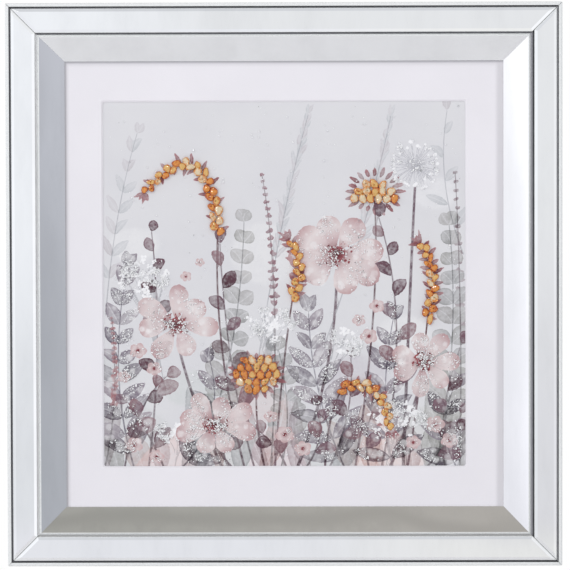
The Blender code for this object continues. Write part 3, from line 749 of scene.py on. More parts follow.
class Picture:
    """The printed plants, painted stroke by stroke on their layers."""

    def __init__(self, across, up):
        self.washes = {name: Wash(across, up) for name, *_ in WASHES}
        self.rng = random.Random(7)

    def branch(self, curve, leaves, long, wide, tones, layers, splay=52, paired=True, start=0.18,
               stem=("#8A8B8C", "#A5A6A8"), thick=(1.9, 1.0), strength=0.85, fullness=0.8, widest=0.45, rib=True):
        """A stem with leaves along it, in pairs or by turns, shorter towards the tip."""
        rng = self.rng
        self.washes["stems"].stem(*curve, thick, stem, 0.8)
        for i in range(leaves):
            along = start + (1 - start) * i / max(1, leaves - 1)
            point, heading = bend_point(*curve, min(along, 1.0))
            size = (1 - 0.5 * along) * rng.uniform(0.85, 1.15)
            for hand in (-1, 1) if paired else (1 if i % 2 else -1,):
                way = turned(heading, hand * (splay + rng.uniform(-12, 12)) * (1 - 0.6 * along**3))
                root = point + way * 0.8
                tip = root + way * long * size * rng.uniform(0.9, 1.1)
                tone = tones[rng.randrange(len(tones))]
                width = wide * (0.5 + 0.5 * size) * rng.uniform(0.88, 1.12)
                bend = hand * rng.uniform(-2.6, 0.8)
                self.washes[layers[i % len(layers)]].leaf(
                    root, tip, width, tone, widest, fullness, bend, strength * rng.uniform(0.8, 1.12), 0.22, rib
                )

    def blades(self):
        """Broad pale blades that rise from the bottom edge."""
        rng = self.rng
        for i in range(20):
            x = -180 + 19.0 * i + rng.uniform(-5, 5)
            lean, tall = rng.uniform(-30, 30), rng.uniform(46, 100)
            self.washes["blades" if i % 2 else "foliage"].leaf(
                (x, BLADE_FOOT), (x + lean, BLADE_FOOT + tall), rng.uniform(16, 27), BLADES[rng.randrange(4)],
                bend=rng.uniform(-7, 7), strength=rng.uniform(0.7, 0.95), streak=0.25, widest=0.5,
            )

    def spike(self, curve, tones, layer, long):
        """A slender flower spike: whorls of small buds that thin out upwards."""
        rng = self.rng
        self.washes["stems"].stem(*curve, (2.0, 0.9), ("#8C8A8B", "#8F7A82"), 0.8)
        whorls = 19
        for i in range(whorls):
            share = i / (whorls - 1)
            point, heading = bend_point(*curve, 0.46 + 0.54 * share)
            for _ in range(6):
                way = turned(heading, rng.uniform(-80, 80))
                reach = long * (1.15 - 0.7 * share) * rng.uniform(0.7, 1.1)
                tone = tones[rng.randrange(len(tones))]
                self.washes[layer].leaf(
                    point, point + way * reach, 3.0, tone, rib=False, strength=rng.uniform(0.5, 0.95)
                )

    def bracts(self):
        """Wine-red bracts that show between the chips."""
        rng, plum = self.rng, self.washes["plum"]

        def bract(start, way, reach, wide, weakest):
            end = start + way * rng.uniform(*reach)
            plum.leaf(start, end, wide, rng.choice(WINE), strength=rng.uniform(weakest, 1.0), rib=False)

        for curve in SPRAYS.values():
            for i in range(16):
                point, heading = bend_point(*curve, i / 15)
                way = turned(heading, (1 if i % 2 else -1) * rng.uniform(45, 80))
                bract(point * 1000, way, (9, 14.5), 4.0, 0.75)
            tip, heading = bend_point(*curve, 1.0)
            for turn in (-26, 0, 26):
                end = tip * 1000 + turned(heading, turn) * rng.uniform(11, 16)
                plum.leaf(tip * 1000, end, 3.4, WINE[1], strength=0.8, rib=False)
        for middle, rows in HEADS.values():
            for i in range(20):
                out = around(2 * math.pi * i / 20, 0.8)
                bract(Vector(middle) * 1000 + out * max(rows) * 3.0, out, (8, 15), 4.2, 0.6)

    def blossom(self, middle, radius):
        """A small five-petalled blossom with a dark eye."""
        middle, turn = Vector(middle), self.rng.uniform(0, 72)
        for i in range(5):
            out = around(math.radians(turn + 72 * i), 0.85)
            self.washes["petals_high" if i % 2 else "petals_low"].leaf(
                middle, middle + out * radius, radius * 0.85, BLOSSOM, widest=0.62, fullness=0.6,
                strength=self.rng.uniform(0.75, 0.95), rib=False,
            )
        self.washes["hearts"].dot(middle, radius * 0.2, ("#6E2F37", "#8F4F55"), 0.9)

    def lace(self, foot, middle, spread, count):
        """A cloud of tiny white flowers on hair-thin stalks."""
        rng, foot, middle = self.rng, Vector(foot), Vector(middle)
        for _ in range(count):
            angle, away = rng.uniform(0, 2 * math.pi), rng.random() ** 0.6
            place = middle + around(angle) * Vector(spread) * away
            if rng.random() < 0.16:
                bend = foot.lerp(middle, 0.7)
                self.washes["stems"].stem(foot, bend, place, (0.9, 0.6), ("#A7A8AB", "#BDBEC2"), 0.6)
            for _ in range(rng.randint(2, 4)):
                near = place + Vector((rng.uniform(-2.2, 2.2), rng.uniform(-2.2, 2.2)))
                radius = rng.uniform(0.8, 1.7)
                self.washes["lace"].dot(near, radius, ("#FAFAFB", "#ECECEF"), rng.uniform(0.75, 1.0))

    def flower(self, middle, radius, petals, turn, tipped):
        """A broad-petalled flower: petals rosy at the root, nearly white in the middle and pink at the tip."""
        rng, hearts, middle = self.rng, self.washes["hearts"], Vector(middle)
        for i in range(petals):
            out = around(math.radians(turn) + 2 * math.pi * (i + rng.uniform(-0.14, 0.14)) / petals, tipped)
            beside = Vector((-out.y, out.x))
            reach = radius * rng.uniform(0.86, 1.08)
            for hand, wide in ((-1, 0.40), (1, 0.40), (0, 0.46)):
                tip = middle + out * reach * (0.97 if hand else 1.0) + beside * hand * radius * 0.10
                self.washes["petals_high" if i % 2 else "petals_low"].leaf(
                    middle + out * radius * 0.08, tip, radius * wide, PETALS[i % 3], widest=0.68, fullness=0.6,
                    bend=hand * -1.5 + rng.uniform(-1.5, 1.5), strength=rng.uniform(0.90, 1.0), streak=0.14,
                    rib=False,
                )
        heart = radius * 0.155
        for _ in range(34):
            angle, reach = rng.uniform(0, 2 * math.pi), heart * rng.uniform(1.0, 2.1)
            size = rng.uniform(0.7, 1.5)
            tone = rng.choice(("#8B4047", "#A35F62", "#6E2A33"))
            hearts.dot(middle + around(angle, tipped) * reach, size, (tone, tone), 0.85)
        hearts.dot(middle, heart * 1.15, ("#5A2029", "#7A343C", "#A5646A"), 0.95, tipped)
        for _ in range(7):
            angle, reach = rng.uniform(0, 2 * math.pi), heart * rng.uniform(0.1, 0.8)
            hearts.dot(middle + around(angle, tipped) * reach, heart * 0.24, ("#36141B", "#4A1C24"), 0.95)

    def seed_head(self, middle, radius):
        """A pale globe of fine rays, each with a white tuft at its end."""
        rng, middle = self.rng, Vector(middle)
        self.washes["mist"].dot(middle, radius * 0.9, ("#E6E6EA", "#E0E0E4"), 0.6)
        for i in range(38):
            out = around(2 * math.pi * i / 38 + rng.uniform(-0.06, 0.06))
            end = out * radius * rng.uniform(0.70, 1.05)
            ray = (middle, middle + end / 2, middle + end)
            self.washes["stems"].stem(*ray, (0.8, 0.6), ("#B5B5BB", "#C9C9CE"), 0.6)
            self.washes["lace"].dot(middle + end, rng.uniform(1.1, 2.0), ("#F6F6F8", "#EFEFF2"), 0.9)

    def frost(self):
        """The whitish film of glass dust on the slate leaves and petals."""
        rng, film = self.rng, self.washes["frost"]
        for layer, count, least in FROST_PATCHES:
            painted = np.nonzero(self.washes[layer].inside > least)[0]
            for at in rng.sample(range(len(painted)), count):
                place = (film.across[painted[at]], film.up[painted[at]])
                film.dot(place, rng.uniform(1.4, 4.0), ("#F6F6F7", "#EFEFF0"), rng.uniform(0.25, 0.62))

    def paint(self):
        """Every printed plant: airy at the top, crowded towards the bottom edge."""
        for x, y, radius, tone in MISTS:
            self.washes["mist"].dot((x, y), radius, (tone, tone), 0.85, self.rng.uniform(0.6, 1.0))
        for kinds, then in ((FAR_BRANCHES, self.blades), (NEAR_BRANCHES, None)):
            for look, branches in kinds:
                for curve, leaves, long in branches:
                    self.branch(curve, leaves, long, **look)
            if then:
                then()
        for spike in SPIKES:
            self.spike(*spike)
        for thick, tones, curves in STEMS:
            for curve in curves:
                self.washes["stems"].stem(*curve, thick, tones, 0.95)
        self.bracts()
        for x, y, radius in BLOSSOMS:
            self.blossom((x, y), radius)
        for cloud in LACE:
            self.lace(*cloud)
        for flower in FLOWERS:
            self.flower(*flower)
        self.seed_head(*SEED_HEAD)
        self.frost()
        return self.washes


def map_panel(mesh):
    """Lays the panel's front flat on its bake map, with its edges and back in a strip along the bottom."""
    corners = read(mesh.loops, "vertex_index", kind=np.int32)
    points = read(mesh.vertices, "co", 3)
    across, depth, up = ((points - points.min(axis=0)) / np.ptp(points, axis=0))[corners].T
    sizes = read(mesh.polygons, "loop_total", kind=np.int32)
    x_way, y_way, z_way = np.repeat(read(mesh.polygons, "normal", 3), sizes, axis=0).T
    front, back = y_way < -0.5, y_way > 0.5
    side = np.where(x_way < -0.5, 0, np.where(x_way > 0.5, 1, np.where(z_way < -0.5, 2, 3)))
    edge_u = 0.44 + 0.135 * (side + 0.95 * np.where(side < 2, up, across))
    u = np.where(front, 0.02 + 0.96 * across, np.where(back, 0.02 + 0.4 * across, edge_u))
    v = np.where(front, 0.03 + 0.96 * up, 0.004 + 0.014 * np.where(back, up, depth))
    layer = mesh.uv_layers.new(name="OFBake")
    layer.data.foreach_set("uv", np.column_stack([u, v]).astype(np.float32).ravel())


def build_print(settings):
    """The panel: a closed board whose front has a fine net of points for the paint."""
    low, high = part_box("picture_panel")
    lines = []
    for axis, size in ((0, WINDOW[0]), (2, WINDOW[1])):
        cells = max(8, round((size + 2 * PRINT_MARGIN) / settings.mesh_pitch))
        inner = np.linspace(-size / 2 - PRINT_MARGIN, size / 2 + PRINT_MARGIN, cells + 1)
        lines.append(np.concatenate([[low[axis]], inner, [high[axis]]]))
    columns, rows = len(lines[0]) - 1, len(lines[1]) - 1
    bm = bmesh.new()
    bmesh.ops.create_grid(bm, x_segments=columns, y_segments=rows, size=0.5)
    for vert in bm.verts:
        i, j = round((vert.co.x + 0.5) * columns), round((vert.co.y + 0.5) * rows)
        vert.co = (lines[0][i], low[1], lines[1][j])
    swept = bmesh.ops.extrude_edge_only(bm, edges=[e for e in bm.edges if e.is_boundary])["geom"]
    bmesh.ops.translate(bm, vec=(0, high[1] - low[1], 0), verts=only(BMVert, swept))
    bmesh.ops.edgeloop_fill(bm, edges=[e for e in bm.edges if e.is_boundary])
    bmesh.ops.recalc_face_normals(bm, faces=bm.faces)
    mesh = new_mesh("printed_flower_panel", bm)
    add_piece(mesh, [painted_print(settings.ground_colour)], ["picture_panel"])

    across, _, up = read(mesh.vertices, "co", 3).T * 1000
    for name, wash in Picture(across, up).paint().items():
        for what in ("inside", "side", "pigment"):
            note(mesh, f"{name}_{what}", getattr(wash, what))
    map_panel(mesh)


def even_steps(root, bend, tip, pitch):
    """The places along a curve, 0 to 1, that lie one pitch apart on it."""
    fine = 200
    points = [bend_point(root, bend, tip, i / fine)[0] for i in range(fine + 1)]
    steps, run = [0.0], 0.0
    for i in range(fine):
        run += (points[i + 1] - points[i]).length
        if run >= pitch * len(steps):
            steps.append((i + 1) / fine)
    return steps


def spray_chips(root, bend, tip):
    """Chips to both sides of a stem by turns: (across, up, size, turn)."""
    chips = []
    for i, along in enumerate(even_steps(root, bend, tip, SPRAY_PITCH)):
        point, heading = bend_point(root, bend, tip, along)
        hand = 1 if i % 2 else -1
        place = point + Vector((-heading.y, heading.x)) * hand * SPRAY_SPREAD * (1 - SPRAY_NARROWS * along)
        turn = math.atan2(heading.y, heading.x) + hand * SPRAY_SPLAY
        chips.append((*place, 1.0 - SPRAY_TAPER * along, turn))
    return chips


def head_chips(middle, rows):
    """Chips in rows that fan out: (across, up, size, turn)."""
    chips = []
    for row, count in enumerate(rows):
        up = (row - (len(rows) - 1) / 2) * HEAD_PITCH * ROW_RISE
        for i in range(count):
            step = i - (count - 1) / 2
            turn = math.radians(90) - step * HEAD_FAN
            chips.append((middle[0] + step * HEAD_PITCH, middle[1] + up, 1.0, turn))
    return chips


def chip_points(pebble, chip, lies_on, rng, settings):
    """One tumbled chip: an uneven pebble lying on the panel, sometimes with a drilled hole."""
    across, up, size, turn = chip
    long = CHIP_LONG * size * rng.uniform(0.80, 1.08) * settings.chip_scale
    wide = CHIP_WIDE * size * rng.uniform(0.70, 1.0) * settings.chip_scale
    across, up = (place + rng.uniform(-CHIP_LEVEL, CHIP_LEVEL) for place in (across, up))
    turn += rng.uniform(-CHIP_TURN, CHIP_TURN)
    high = CHIP_HIGH * rng.uniform(0.74, 0.98)
    phases = [rng.uniform(0, 2 * math.pi) for _ in range(3)]
    x, y, z = pebble.T
    angle, level = np.arctan2(y, x), np.abs(z)
    uneven = 1 + sum(deep * np.cos(count * angle + phase) for (deep, count), phase in zip(CHIP_LUMPS, phases))
    inner = np.minimum(level, 0.999)
    fuller = np.sqrt((1 - inner**2.6) / (1 - inner**2))
    x, y = x * uneven * fuller * long / 2, y * uneven * fuller * wide / 2
    top = high * (0.42 + 0.58 * np.sign(z) * level**1.25)
    top += CHIP_TOP_LUMP * np.sin(x * CHIP_TOP_PITCH + phases[0]) * np.maximum(0, z)
    top = np.where(z > CHIP_FLAT, top, 0.0)
    if rng.random() < settings.drilled_share:
        hole = (rng.uniform(-0.9, 0.9) * 0.001, rng.uniform(-0.7, 0.7) * 0.001)
        rings = np.rint(np.arccos(np.clip(z, -1, 1)) / math.pi * CHIP_RINGS).astype(int)
        for ring, (reach, deep) in enumerate(HOLE_RINGS):
            here = rings == ring
            x[here] = hole[0] + reach * np.cos(angle[here])
            y[here] = hole[1] + reach * np.sin(angle[here])
            top[here] = high - HOLE_SUNK - deep
    lean = [Matrix.Rotation(rng.uniform(-CHIP_LEAN, CHIP_LEAN), 3, axis) for axis in "XY"]
    spin = Matrix.Rotation(turn + rng.uniform(-CHIP_TWIST, CHIP_TWIST), 3, "Z") @ lean[0] @ lean[1]
    x, y, top = np.array(spin) @ np.array([x, y, np.maximum(top, 0.0)])
    return np.column_stack([x + across, lies_on - np.clip(top, 0.0, CHIP_HIGH), y + up])


def build_amber(settings):
    materials = [
        amber(f"amber_{tone}", getattr(settings, f"{tone}_colour"), rim, absorbed, density)
        for tone, (absorbed, rim, density, _) in AMBERS.items()
    ]
    shares = [share for *_, share in AMBERS.values()]
    lies_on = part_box("picture_panel")[0][1] - GAP
    pebble, faces = template(bmesh.ops.create_uvsphere, u_segments=20, v_segments=CHIP_RINGS, radius=1.0)
    # How near each point lies to a chip's rim, which sets its painted rim shade.
    rim_shade_share = 1 - np.maximum(0, pebble[:, 2]) ** 2
    groups = {name: spray_chips(*curve) for name, curve in SPRAYS.items()}
    groups.update({name: head_chips(*head) for name, head in HEADS.items()})
    for seed, (name, chips) in enumerate(groups.items(), 51):
        rng = random.Random(seed)
        copies = np.array([chip_points(pebble, chip, lies_on, rng, settings) for chip in chips])
        tones = rng.choices(range(len(AMBERS)), shares, k=len(chips))
        mesh = joined_mesh(f"{name}_chips", copies, faces, tones, smooth=True)
        add_piece(mesh, materials, [name])
        note(mesh, "rim", np.tile(rim_shade_share, len(chips)))


def splinters(places, sizes, rises, lies_on, rng):
    """Splinters of crushed glass: uneven sharp grains, each turned at random, lying on the panel."""
    corners, faces = template(bmesh.ops.create_icosphere, subdivisions=1, radius=0.5)
    many = len(places)
    quaternions = rng.normal(size=(many, 4))
    w, x, y, z = (quaternions / np.linalg.norm(quaternions, axis=1)[:, None]).T
    turns = np.array(
        [
            [1 - 2 * (y * y + z * z), 2 * (x * y - z * w), 2 * (x * z + y * w)],
            [2 * (x * y + z * w), 1 - 2 * (x * x + z * z), 2 * (y * z - x * w)],
            [2 * (x * z - y * w), 2 * (y * z + x * w), 1 - 2 * (x * x + y * y)],
        ]
    ).transpose(2, 0, 1)
    uneven = rng.uniform(*SPLINTER_UNEVEN, (many, len(corners), 1))
    stretch = np.column_stack([rng.uniform(*ends, many) for ends in SPLINTER_STRETCH])
    shapes = corners[None] * uneven * stretch[:, None] * np.asarray(sizes)[:, None, None]
    shapes = np.einsum("nij,npj->npi", turns, shapes)
    shapes[:, :, 1] += (lies_on - np.asarray(rises) - shapes[:, :, 1].max(axis=1))[:, None]
    shapes[:, :, (0, 2)] += places[:, None]
    return shapes, faces


def grain_places(panel, many, rng):
    """Places for loose grains, clustered on the painted petals, slate leaves and lace."""
    points = read(panel.vertices, "co", 3)
    chance = np.full(len(points), GRAINS_ELSEWHERE)
    for layer, share, least in GRAIN_SHARES:
        inside = read(panel.attributes[f"{layer}_inside"].data, "value")
        chance = np.where(inside > least, np.maximum(chance, share), chance)
    x, y, z = points.T
    clear = (np.abs(x) < WINDOW[0] / 2 - GRAIN_MARGIN) & (np.abs(z) < WINDOW[1] / 2 - GRAIN_MARGIN)
    chance *= clear & (y < y.min() + 0.001)
    patches = np.sin(x * 190) + np.sin(z * 170 + x * 90)
    chance *= np.clip(0.50 + 0.60 * patches, 0.05, 1.5)
    chosen = points[rng.choice(len(points), many, p=chance / chance.sum())][:, (0, 2)]
    return chosen + rng.uniform(-GRAIN_STRAY, GRAIN_STRAY, (many, 2))


def build_crushed_glass(settings):
    materials = [crushed_glass("bruised_glass", 0.08, 0.28), crushed_glass("clear_glass", 0.92, 0.03)]
    lies_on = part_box("picture_panel")[0][1] - GAP

    def lay(name, places, sizes, rises, clear_share, rng, stands_for=()):
        shapes, faces = splinters(places, sizes, rises, lies_on, rng)
        tones = rng.choice(2, len(places), p=(1 - clear_share, clear_share))
        add_piece(joined_mesh(name, shapes, faces, tones), materials, stands_for)

    for seed, (name, (middle, radius)) in enumerate(CRUSTS.items(), 81):
        rng = np.random.default_rng(seed)
        many = settings.splinters_per_crust
        away, angle = radius * rng.random(many) ** 0.55, rng.uniform(0, 2 * math.pi, many)
        places = np.column_stack([middle[0] + away * np.cos(angle), middle[1] + away * np.sin(angle) * 0.85])
        rises = CRUST_RISE * (1 - away / radius) * rng.random(many)
        lay(f"{name}_splinters", places, rng.uniform(0.0010, 0.0026, many), rises, 0.25, rng, [name])

    rng = np.random.default_rng(91)
    many = settings.scattered_grains
    places = grain_places(bpy.data.objects["printed_flower_panel"].data, many, rng)
    sizes = 0.0007 + 0.0018 * rng.random(many) ** 2
    lay("scattered_crushed_glass", places, sizes, np.zeros(many), 0.10, rng)


def outline(bm, points, depth=0.0):
    """A closed ring of edges at that depth behind a face that looks along +Z."""
    verts = [bm.verts.new((x, y, -depth)) for x, y in points]
    return [bm.edges.new((a, b)) for a, b in zip(verts, verts[1:] + verts[:1])]


def sink(bm, edges, depth, scale=(1.0, 1.0), middle=(0, 0)):
    """Pulls walls from a ring of edges down to that depth, and gives the ring at their foot."""
    swept = bmesh.ops.extrude_edge_only(bm, edges=edges)["geom"]
    for vert in only(BMVert, swept):
        x, y = (m + (c - m) * s for m, c, s in zip(middle, vert.co, scale))
        vert.co = (x, y, -depth)
    return only(BMEdge, swept)


def arc(radius, middle, start, end, steps, whole=False):
    """Points on an arc; a whole circle leaves out the last one."""
    angles = np.linspace(start, end, steps, endpoint=not whole)
    return [(middle[0] + radius * math.cos(a), middle[1] + radius * math.sin(a)) for a in angles]


def circle(bm, radius, middle=(0, 0)):
    return outline(bm, arc(radius, middle, 0, 2 * math.pi, ROUND_STEPS, whole=True))


def fixing_mesh(name, bm, low, high):
    """Faces the fixing outwards, turns its front to +Y and sets it in the middle of its CAD box."""
    bmesh.ops.recalc_face_normals(bm, faces=bm.faces)
    for turn, axis in ((-90, "X"), (180, "Y")):
        bmesh.ops.rotate(bm, matrix=Matrix.Rotation(math.radians(turn), 3, axis), verts=bm.verts)
    place = ((low[0] + high[0]) / 2, high[1], (low[2] + high[2]) / 2)
    bmesh.ops.translate(bm, vec=place, verts=bm.verts)
    return new_mesh(name, bm)


def screw(low, high, settings):
    """A countersunk screw with a cross recess and a ridged shank."""
    bm = bmesh.new()
    long = high[1] - low[1]
    rim = circle(bm, SCREW_HEAD_R)
    recess = outline(bm, [turned(Vector(point), -turn) for turn in (0, 90, 180, 270) for point in RECESS_ARM])
    bmesh.ops.triangle_fill(bm, use_beauty=True, edges=rim + recess)
    bmesh.ops.contextual_create(bm, geom=sink(bm, recess, settings.recess_deep, (RECESS_FOOT, RECESS_FOOT)))
    ring = sink(bm, rim, SCREW_RIM)
    neck = SCREW_SHANK_R / SCREW_HEAD_R
    ring = sink(bm, ring, SCREW_HEAD_DEEP, (neck, neck))
    for i in range(math.ceil((long - SCREW_TIP - SCREW_HEAD_DEEP) / RIDGE_PITCH)):
        wide = 1 / RIDGE_FOOT if i % 2 else RIDGE_FOOT
        ring = sink(bm, ring, SCREW_HEAD_DEEP + RIDGE_PITCH * (i + 1), (wide, wide))
    ring = sink(bm, ring, long, (SCREW_POINT, SCREW_POINT))
    bmesh.ops.contextual_create(bm, geom=ring)
    return bm


def hanger_plate(low, high, settings):
    """A pressed keyhole plate with rounded corners and two countersunk holes."""
    bm = bmesh.new()
    across, up = (high[0] - low[0]) / 2, (high[2] - low[2]) / 2
    thick = high[1] - low[1]
    corners = []
    for quarter, (x_way, y_way) in enumerate(((1, 1), (-1, 1), (-1, -1), (1, -1))):
        middle = (x_way * (across - PLATE_CORNER), y_way * (up - PLATE_CORNER))
        corners += arc(PLATE_CORNER, middle, math.pi / 2 * quarter, math.pi / 2 * (quarter + 1), CORNER_STEPS)
    rim = outline(bm, corners, PLATE_ARRIS)
    meet = math.asin(KEYHOLE_SLOT_R / KEYHOLE_R)
    keyhole = arc(KEYHOLE_R, (0, KEYHOLE_FOOT), math.pi / 2 + meet, 2.5 * math.pi - meet, 40)
    keyhole += arc(KEYHOLE_SLOT_R, (0, KEYHOLE_FOOT + KEYHOLE_RISE), 0, math.pi, 16)
    slot = outline(bm, keyhole)
    hole_r = SCREW_HEAD_R + GAP
    middles = [(way * PLATE_SCREW_AT, 0) for way in (-1, 1)]
    holes = [circle(bm, hole_r, middle) for middle in middles]
    back = sink(bm, rim, thick)
    top = sink(bm, rim, 0.0, (1 - PLATE_ARRIS / across, 1 - PLATE_ARRIS / up))
    bmesh.ops.triangle_fill(bm, use_beauty=True, edges=top + slot + holes[0] + holes[1])
    under = back + sink(bm, slot, thick)
    narrow = (hole_r - thick * HOLE_NARROWS) / hole_r
    for middle, hole in zip(middles, holes):
        under += sink(bm, hole, thick, (narrow, narrow), middle)
    bmesh.ops.triangle_fill(bm, use_beauty=True, edges=under)
    return bm


def build_fixings(settings):
    steel = zinc_steel()
    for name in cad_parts:
        build = screw if "screw" in name else hanger_plate if name.startswith("hanger_plate") else None
        if build:
            low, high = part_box(name)
            mesh = fixing_mesh(f"{name}_steel", build(low, high, settings), low, high)
            add_piece(mesh, [steel], [name])


def finish_boards(settings):
    finishes = {f"core_rail_{side}": core_board(side) for side in SIDES}
    finishes["mat"] = mat_board(settings.mat_colour)
    finishes["backing_card"] = grey_card()
    finishes["back_board"] = hardboard(settings.back_colour)
    for start, material in finishes.items():
        for name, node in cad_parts.items():
            if name.startswith(start):
                for slot in node.material_slots:
                    slot.material = material


def studio_world(settings):
    """A white studio that differs by side, as the strips mirror it; the camera sees plain white."""
    world = bpy.data.worlds.new("soft_studio")
    world.use_nodes = True
    tree = world.node_tree
    tree.nodes.clear()
    x, y, z = add(tree, "SeparateXYZ", (add(tree, "TexCoord", out="Generated"),)).node.outputs
    # What the face strips mirror: cooler at the upper left, dimmer low down, warmer along the bottom.
    colour = turn_to(tree, "#FAFBFE", "#EFEFF0", (x, -0.085, -0.01))
    low = turn_to(tree, "#E8E9EC", "#E4E3E6", (x, -0.08, 0.06))
    colour = turn_to(tree, colour, low, (z, -0.01, -0.085))
    bottom = turn_to(tree, "#EDEDF1", "#F1F0EE", (x, -0.02, 0.05))
    colour = turn_to(tree, colour, bottom, (z, -0.100, -0.112))
    colour = dim(tree, colour, (y, -0.97, -0.80, 1.0, 1.1))
    # What the bevels mirror: a dimmer band above and a bright one to the right.
    colour = turn_to(tree, colour, "#DDDEE1", (z, 0.34, 0.46), (z, 0.72, 0.64), (x, 0.28, 0.18))
    colour = turn_to(tree, colour, (1.06, 1.06, 1.08, 1), (x, 0.34, 0.44), (x, 0.59, 0.54), (z, 0.30, 0.22))
    # What the slopes mirror: the bright left, the grey right and the dim ceiling. The soft edges of what stands
    # there run lengthways along the slopes.
    bright = turn_to(tree, (0.94, 0.93, 0.98, 1), (1.12, 1.11, 1.14, 1), (z, -0.12, 0.04))
    bright = dim(tree, bright, (y, -0.2466, -0.2540, 0.93, 1.10), "LINEAR")
    colour = turn_to(tree, colour, bright, (x, -0.70, -0.90))
    grey = turn_to(tree, "#AFB1B7", "#C5C6CD", (z, -0.12, 0.04))
    grey = dim(tree, grey, (y, -0.2751, -0.2684, 0.93, 1.04))
    colour = turn_to(tree, colour, grey, (x, 0.70, 0.90))
    colour = turn_to(tree, colour, "#EDEDEE", (z, -0.50, -0.90))
    ceiling = turn_to(tree, "#A5A39D", "#B2ADA7", (x, -0.09, 0.07))
    band = add(tree, "Math", (y, 0.2976), operation="ADD")
    band = add(tree, "Math", (band,), operation="ABSOLUTE")
    ceiling = dim(tree, ceiling, (band, 0.0004, 0.0034, 0.93, 1.06))
    colour = turn_to(tree, colour, ceiling, (z, 0.78, 0.93))
    lit = add(tree, "Background", (colour, settings.studio_level))
    seen = add(tree, "Background", ((1, 1, 1, 1), 1.0))
    mixed = add(tree, "MixShader", (add(tree, "LightPath", out="Is Camera Ray"), lit, seen))
    add(tree, "OutputWorld", {"Surface": mixed})
    bpy.context.scene.world = world


def add_floor():
    """A plain pale floor below the hanging frame."""
    bm = bmesh.new()
    bmesh.ops.create_circle(bm, cap_ends=True, segments=96, radius=1.1)
    bmesh.ops.translate(bm, vec=(0, -0.1, -0.62), verts=bm.verts)
    mesh = new_mesh("studio_floor", bm)
    material, tree = new_material("pale_floor", Roughness=0.7)
    finish(tree, turn_to(tree, "#F7F6F7", "#F4F3F4", (grain(tree, 0.2), 0.0, 1.0)))
    mesh.materials.append(material)
    place_object("studio_floor", mesh)


def add_key_light(power):
    """One soft disk lamp, high on the left, that gives the chips and the glass their small highlights."""
    data = bpy.data.lights.new("key", "AREA")
    data.shape, data.size, data.energy = "DISK", 0.35, power
    light = place_object("key", data)
    light.location = (-0.9, -2.1, 1.1)
    light.rotation_euler = (-light.location).to_track_quat("-Z", "Y").to_euler()


def set_stage(settings):
    scene = bpy.context.scene
    scene.view_settings.view_transform = "Standard"
    studio_world(settings)
    add_floor()
    add_key_light(settings.key_power)
    azimuth, elevation = settings.camera_azimuth, settings.camera_elevation
    level = math.cos(elevation)
    out = Vector((math.sin(azimuth) * level, -math.cos(azimuth) * level, math.sin(elevation)))
    data = bpy.data.cameras.new("photo_camera")
    data.angle = settings.camera_angle
    data.clip_end = 50
    camera = place_object("photo_camera", data)
    camera.location = Vector((settings.aim_across, 0, settings.aim_up)) + out * settings.camera_distance
    roll = Matrix.Rotation(settings.camera_roll, 3, "Z")
    camera.rotation_euler = ((-out).to_track_quat("-Z", "Y").to_matrix() @ roll).to_euler()
    scene.camera = camera


class StripSettings(bpy.types.PropertyGroup):
    arris: FloatProperty(
        name="Arris", description="How far the sharp glass edges are rubbed down", default=0.00045, unit="LENGTH"
    )
    face_bevel: FloatProperty(
        name="Face Bevel", description="Width of the bevel round each face strip", default=0.0030, unit="LENGTH"
    )


class PrintSettings(bpy.types.PropertyGroup):
    ground_colour: FloatVectorProperty(
        name="Ground", description="Colour of the print's ground", default=linear("#D9D9DD"), subtype="COLOR", size=4
    )
    mesh_pitch: FloatProperty(
        name="Mesh Pitch", description="Spacing of the points that hold the paint", default=0.00119, unit="LENGTH"
    )


class AmberSettings(bpy.types.PropertyGroup):
    # The middle colours are the painted glow of each amber.
    deep_colour: FloatVectorProperty(
        name="Deep", description="Middle of the darkest chips", default=linear("#FFA83C"), subtype="COLOR", size=4
    )
    honey_colour: FloatVectorProperty(
        name="Honey", description="Middle of the honey chips", default=linear("#FFD27A"), subtype="COLOR", size=4
    )
    pale_colour: FloatVectorProperty(
        name="Pale", description="Middle of the palest chips", default=linear("#FFF2CC"), subtype="COLOR", size=4
    )
    chip_scale: FloatProperty(
        name="Chip Scale", description="Size of the chips against their CAD solids", default=1.0, subtype="FACTOR"
    )
    drilled_share: FloatProperty(
        name="Drilled", description="Share of the chips that have a drilled hole", default=0.3, subtype="FACTOR"
    )


class GlassSettings(bpy.types.PropertyGroup):
    splinters_per_crust: IntProperty(
        name="Splinters", description="Splinters of crushed glass in each crust", default=46
    )
    scattered_grains: IntProperty(
        name="Grains", description="Fine grains scattered over the petals and leaves", default=7600
    )


class BoardSettings(bpy.types.PropertyGroup):
    mat_colour: FloatVectorProperty(
        name="Mat", description="Colour of the mat board", default=linear("#ECEAEF"), subtype="COLOR", size=4
    )
    back_colour: FloatVectorProperty(
        name="Back", description="Darker colour of the back board", default=linear("#6B4A2F"), subtype="COLOR", size=4
    )


class FixingSettings(bpy.types.PropertyGroup):
    recess_deep: FloatProperty(
        name="Recess", description="Depth of the cross in the screw heads", default=RECESS_DEEP, unit="LENGTH"
    )


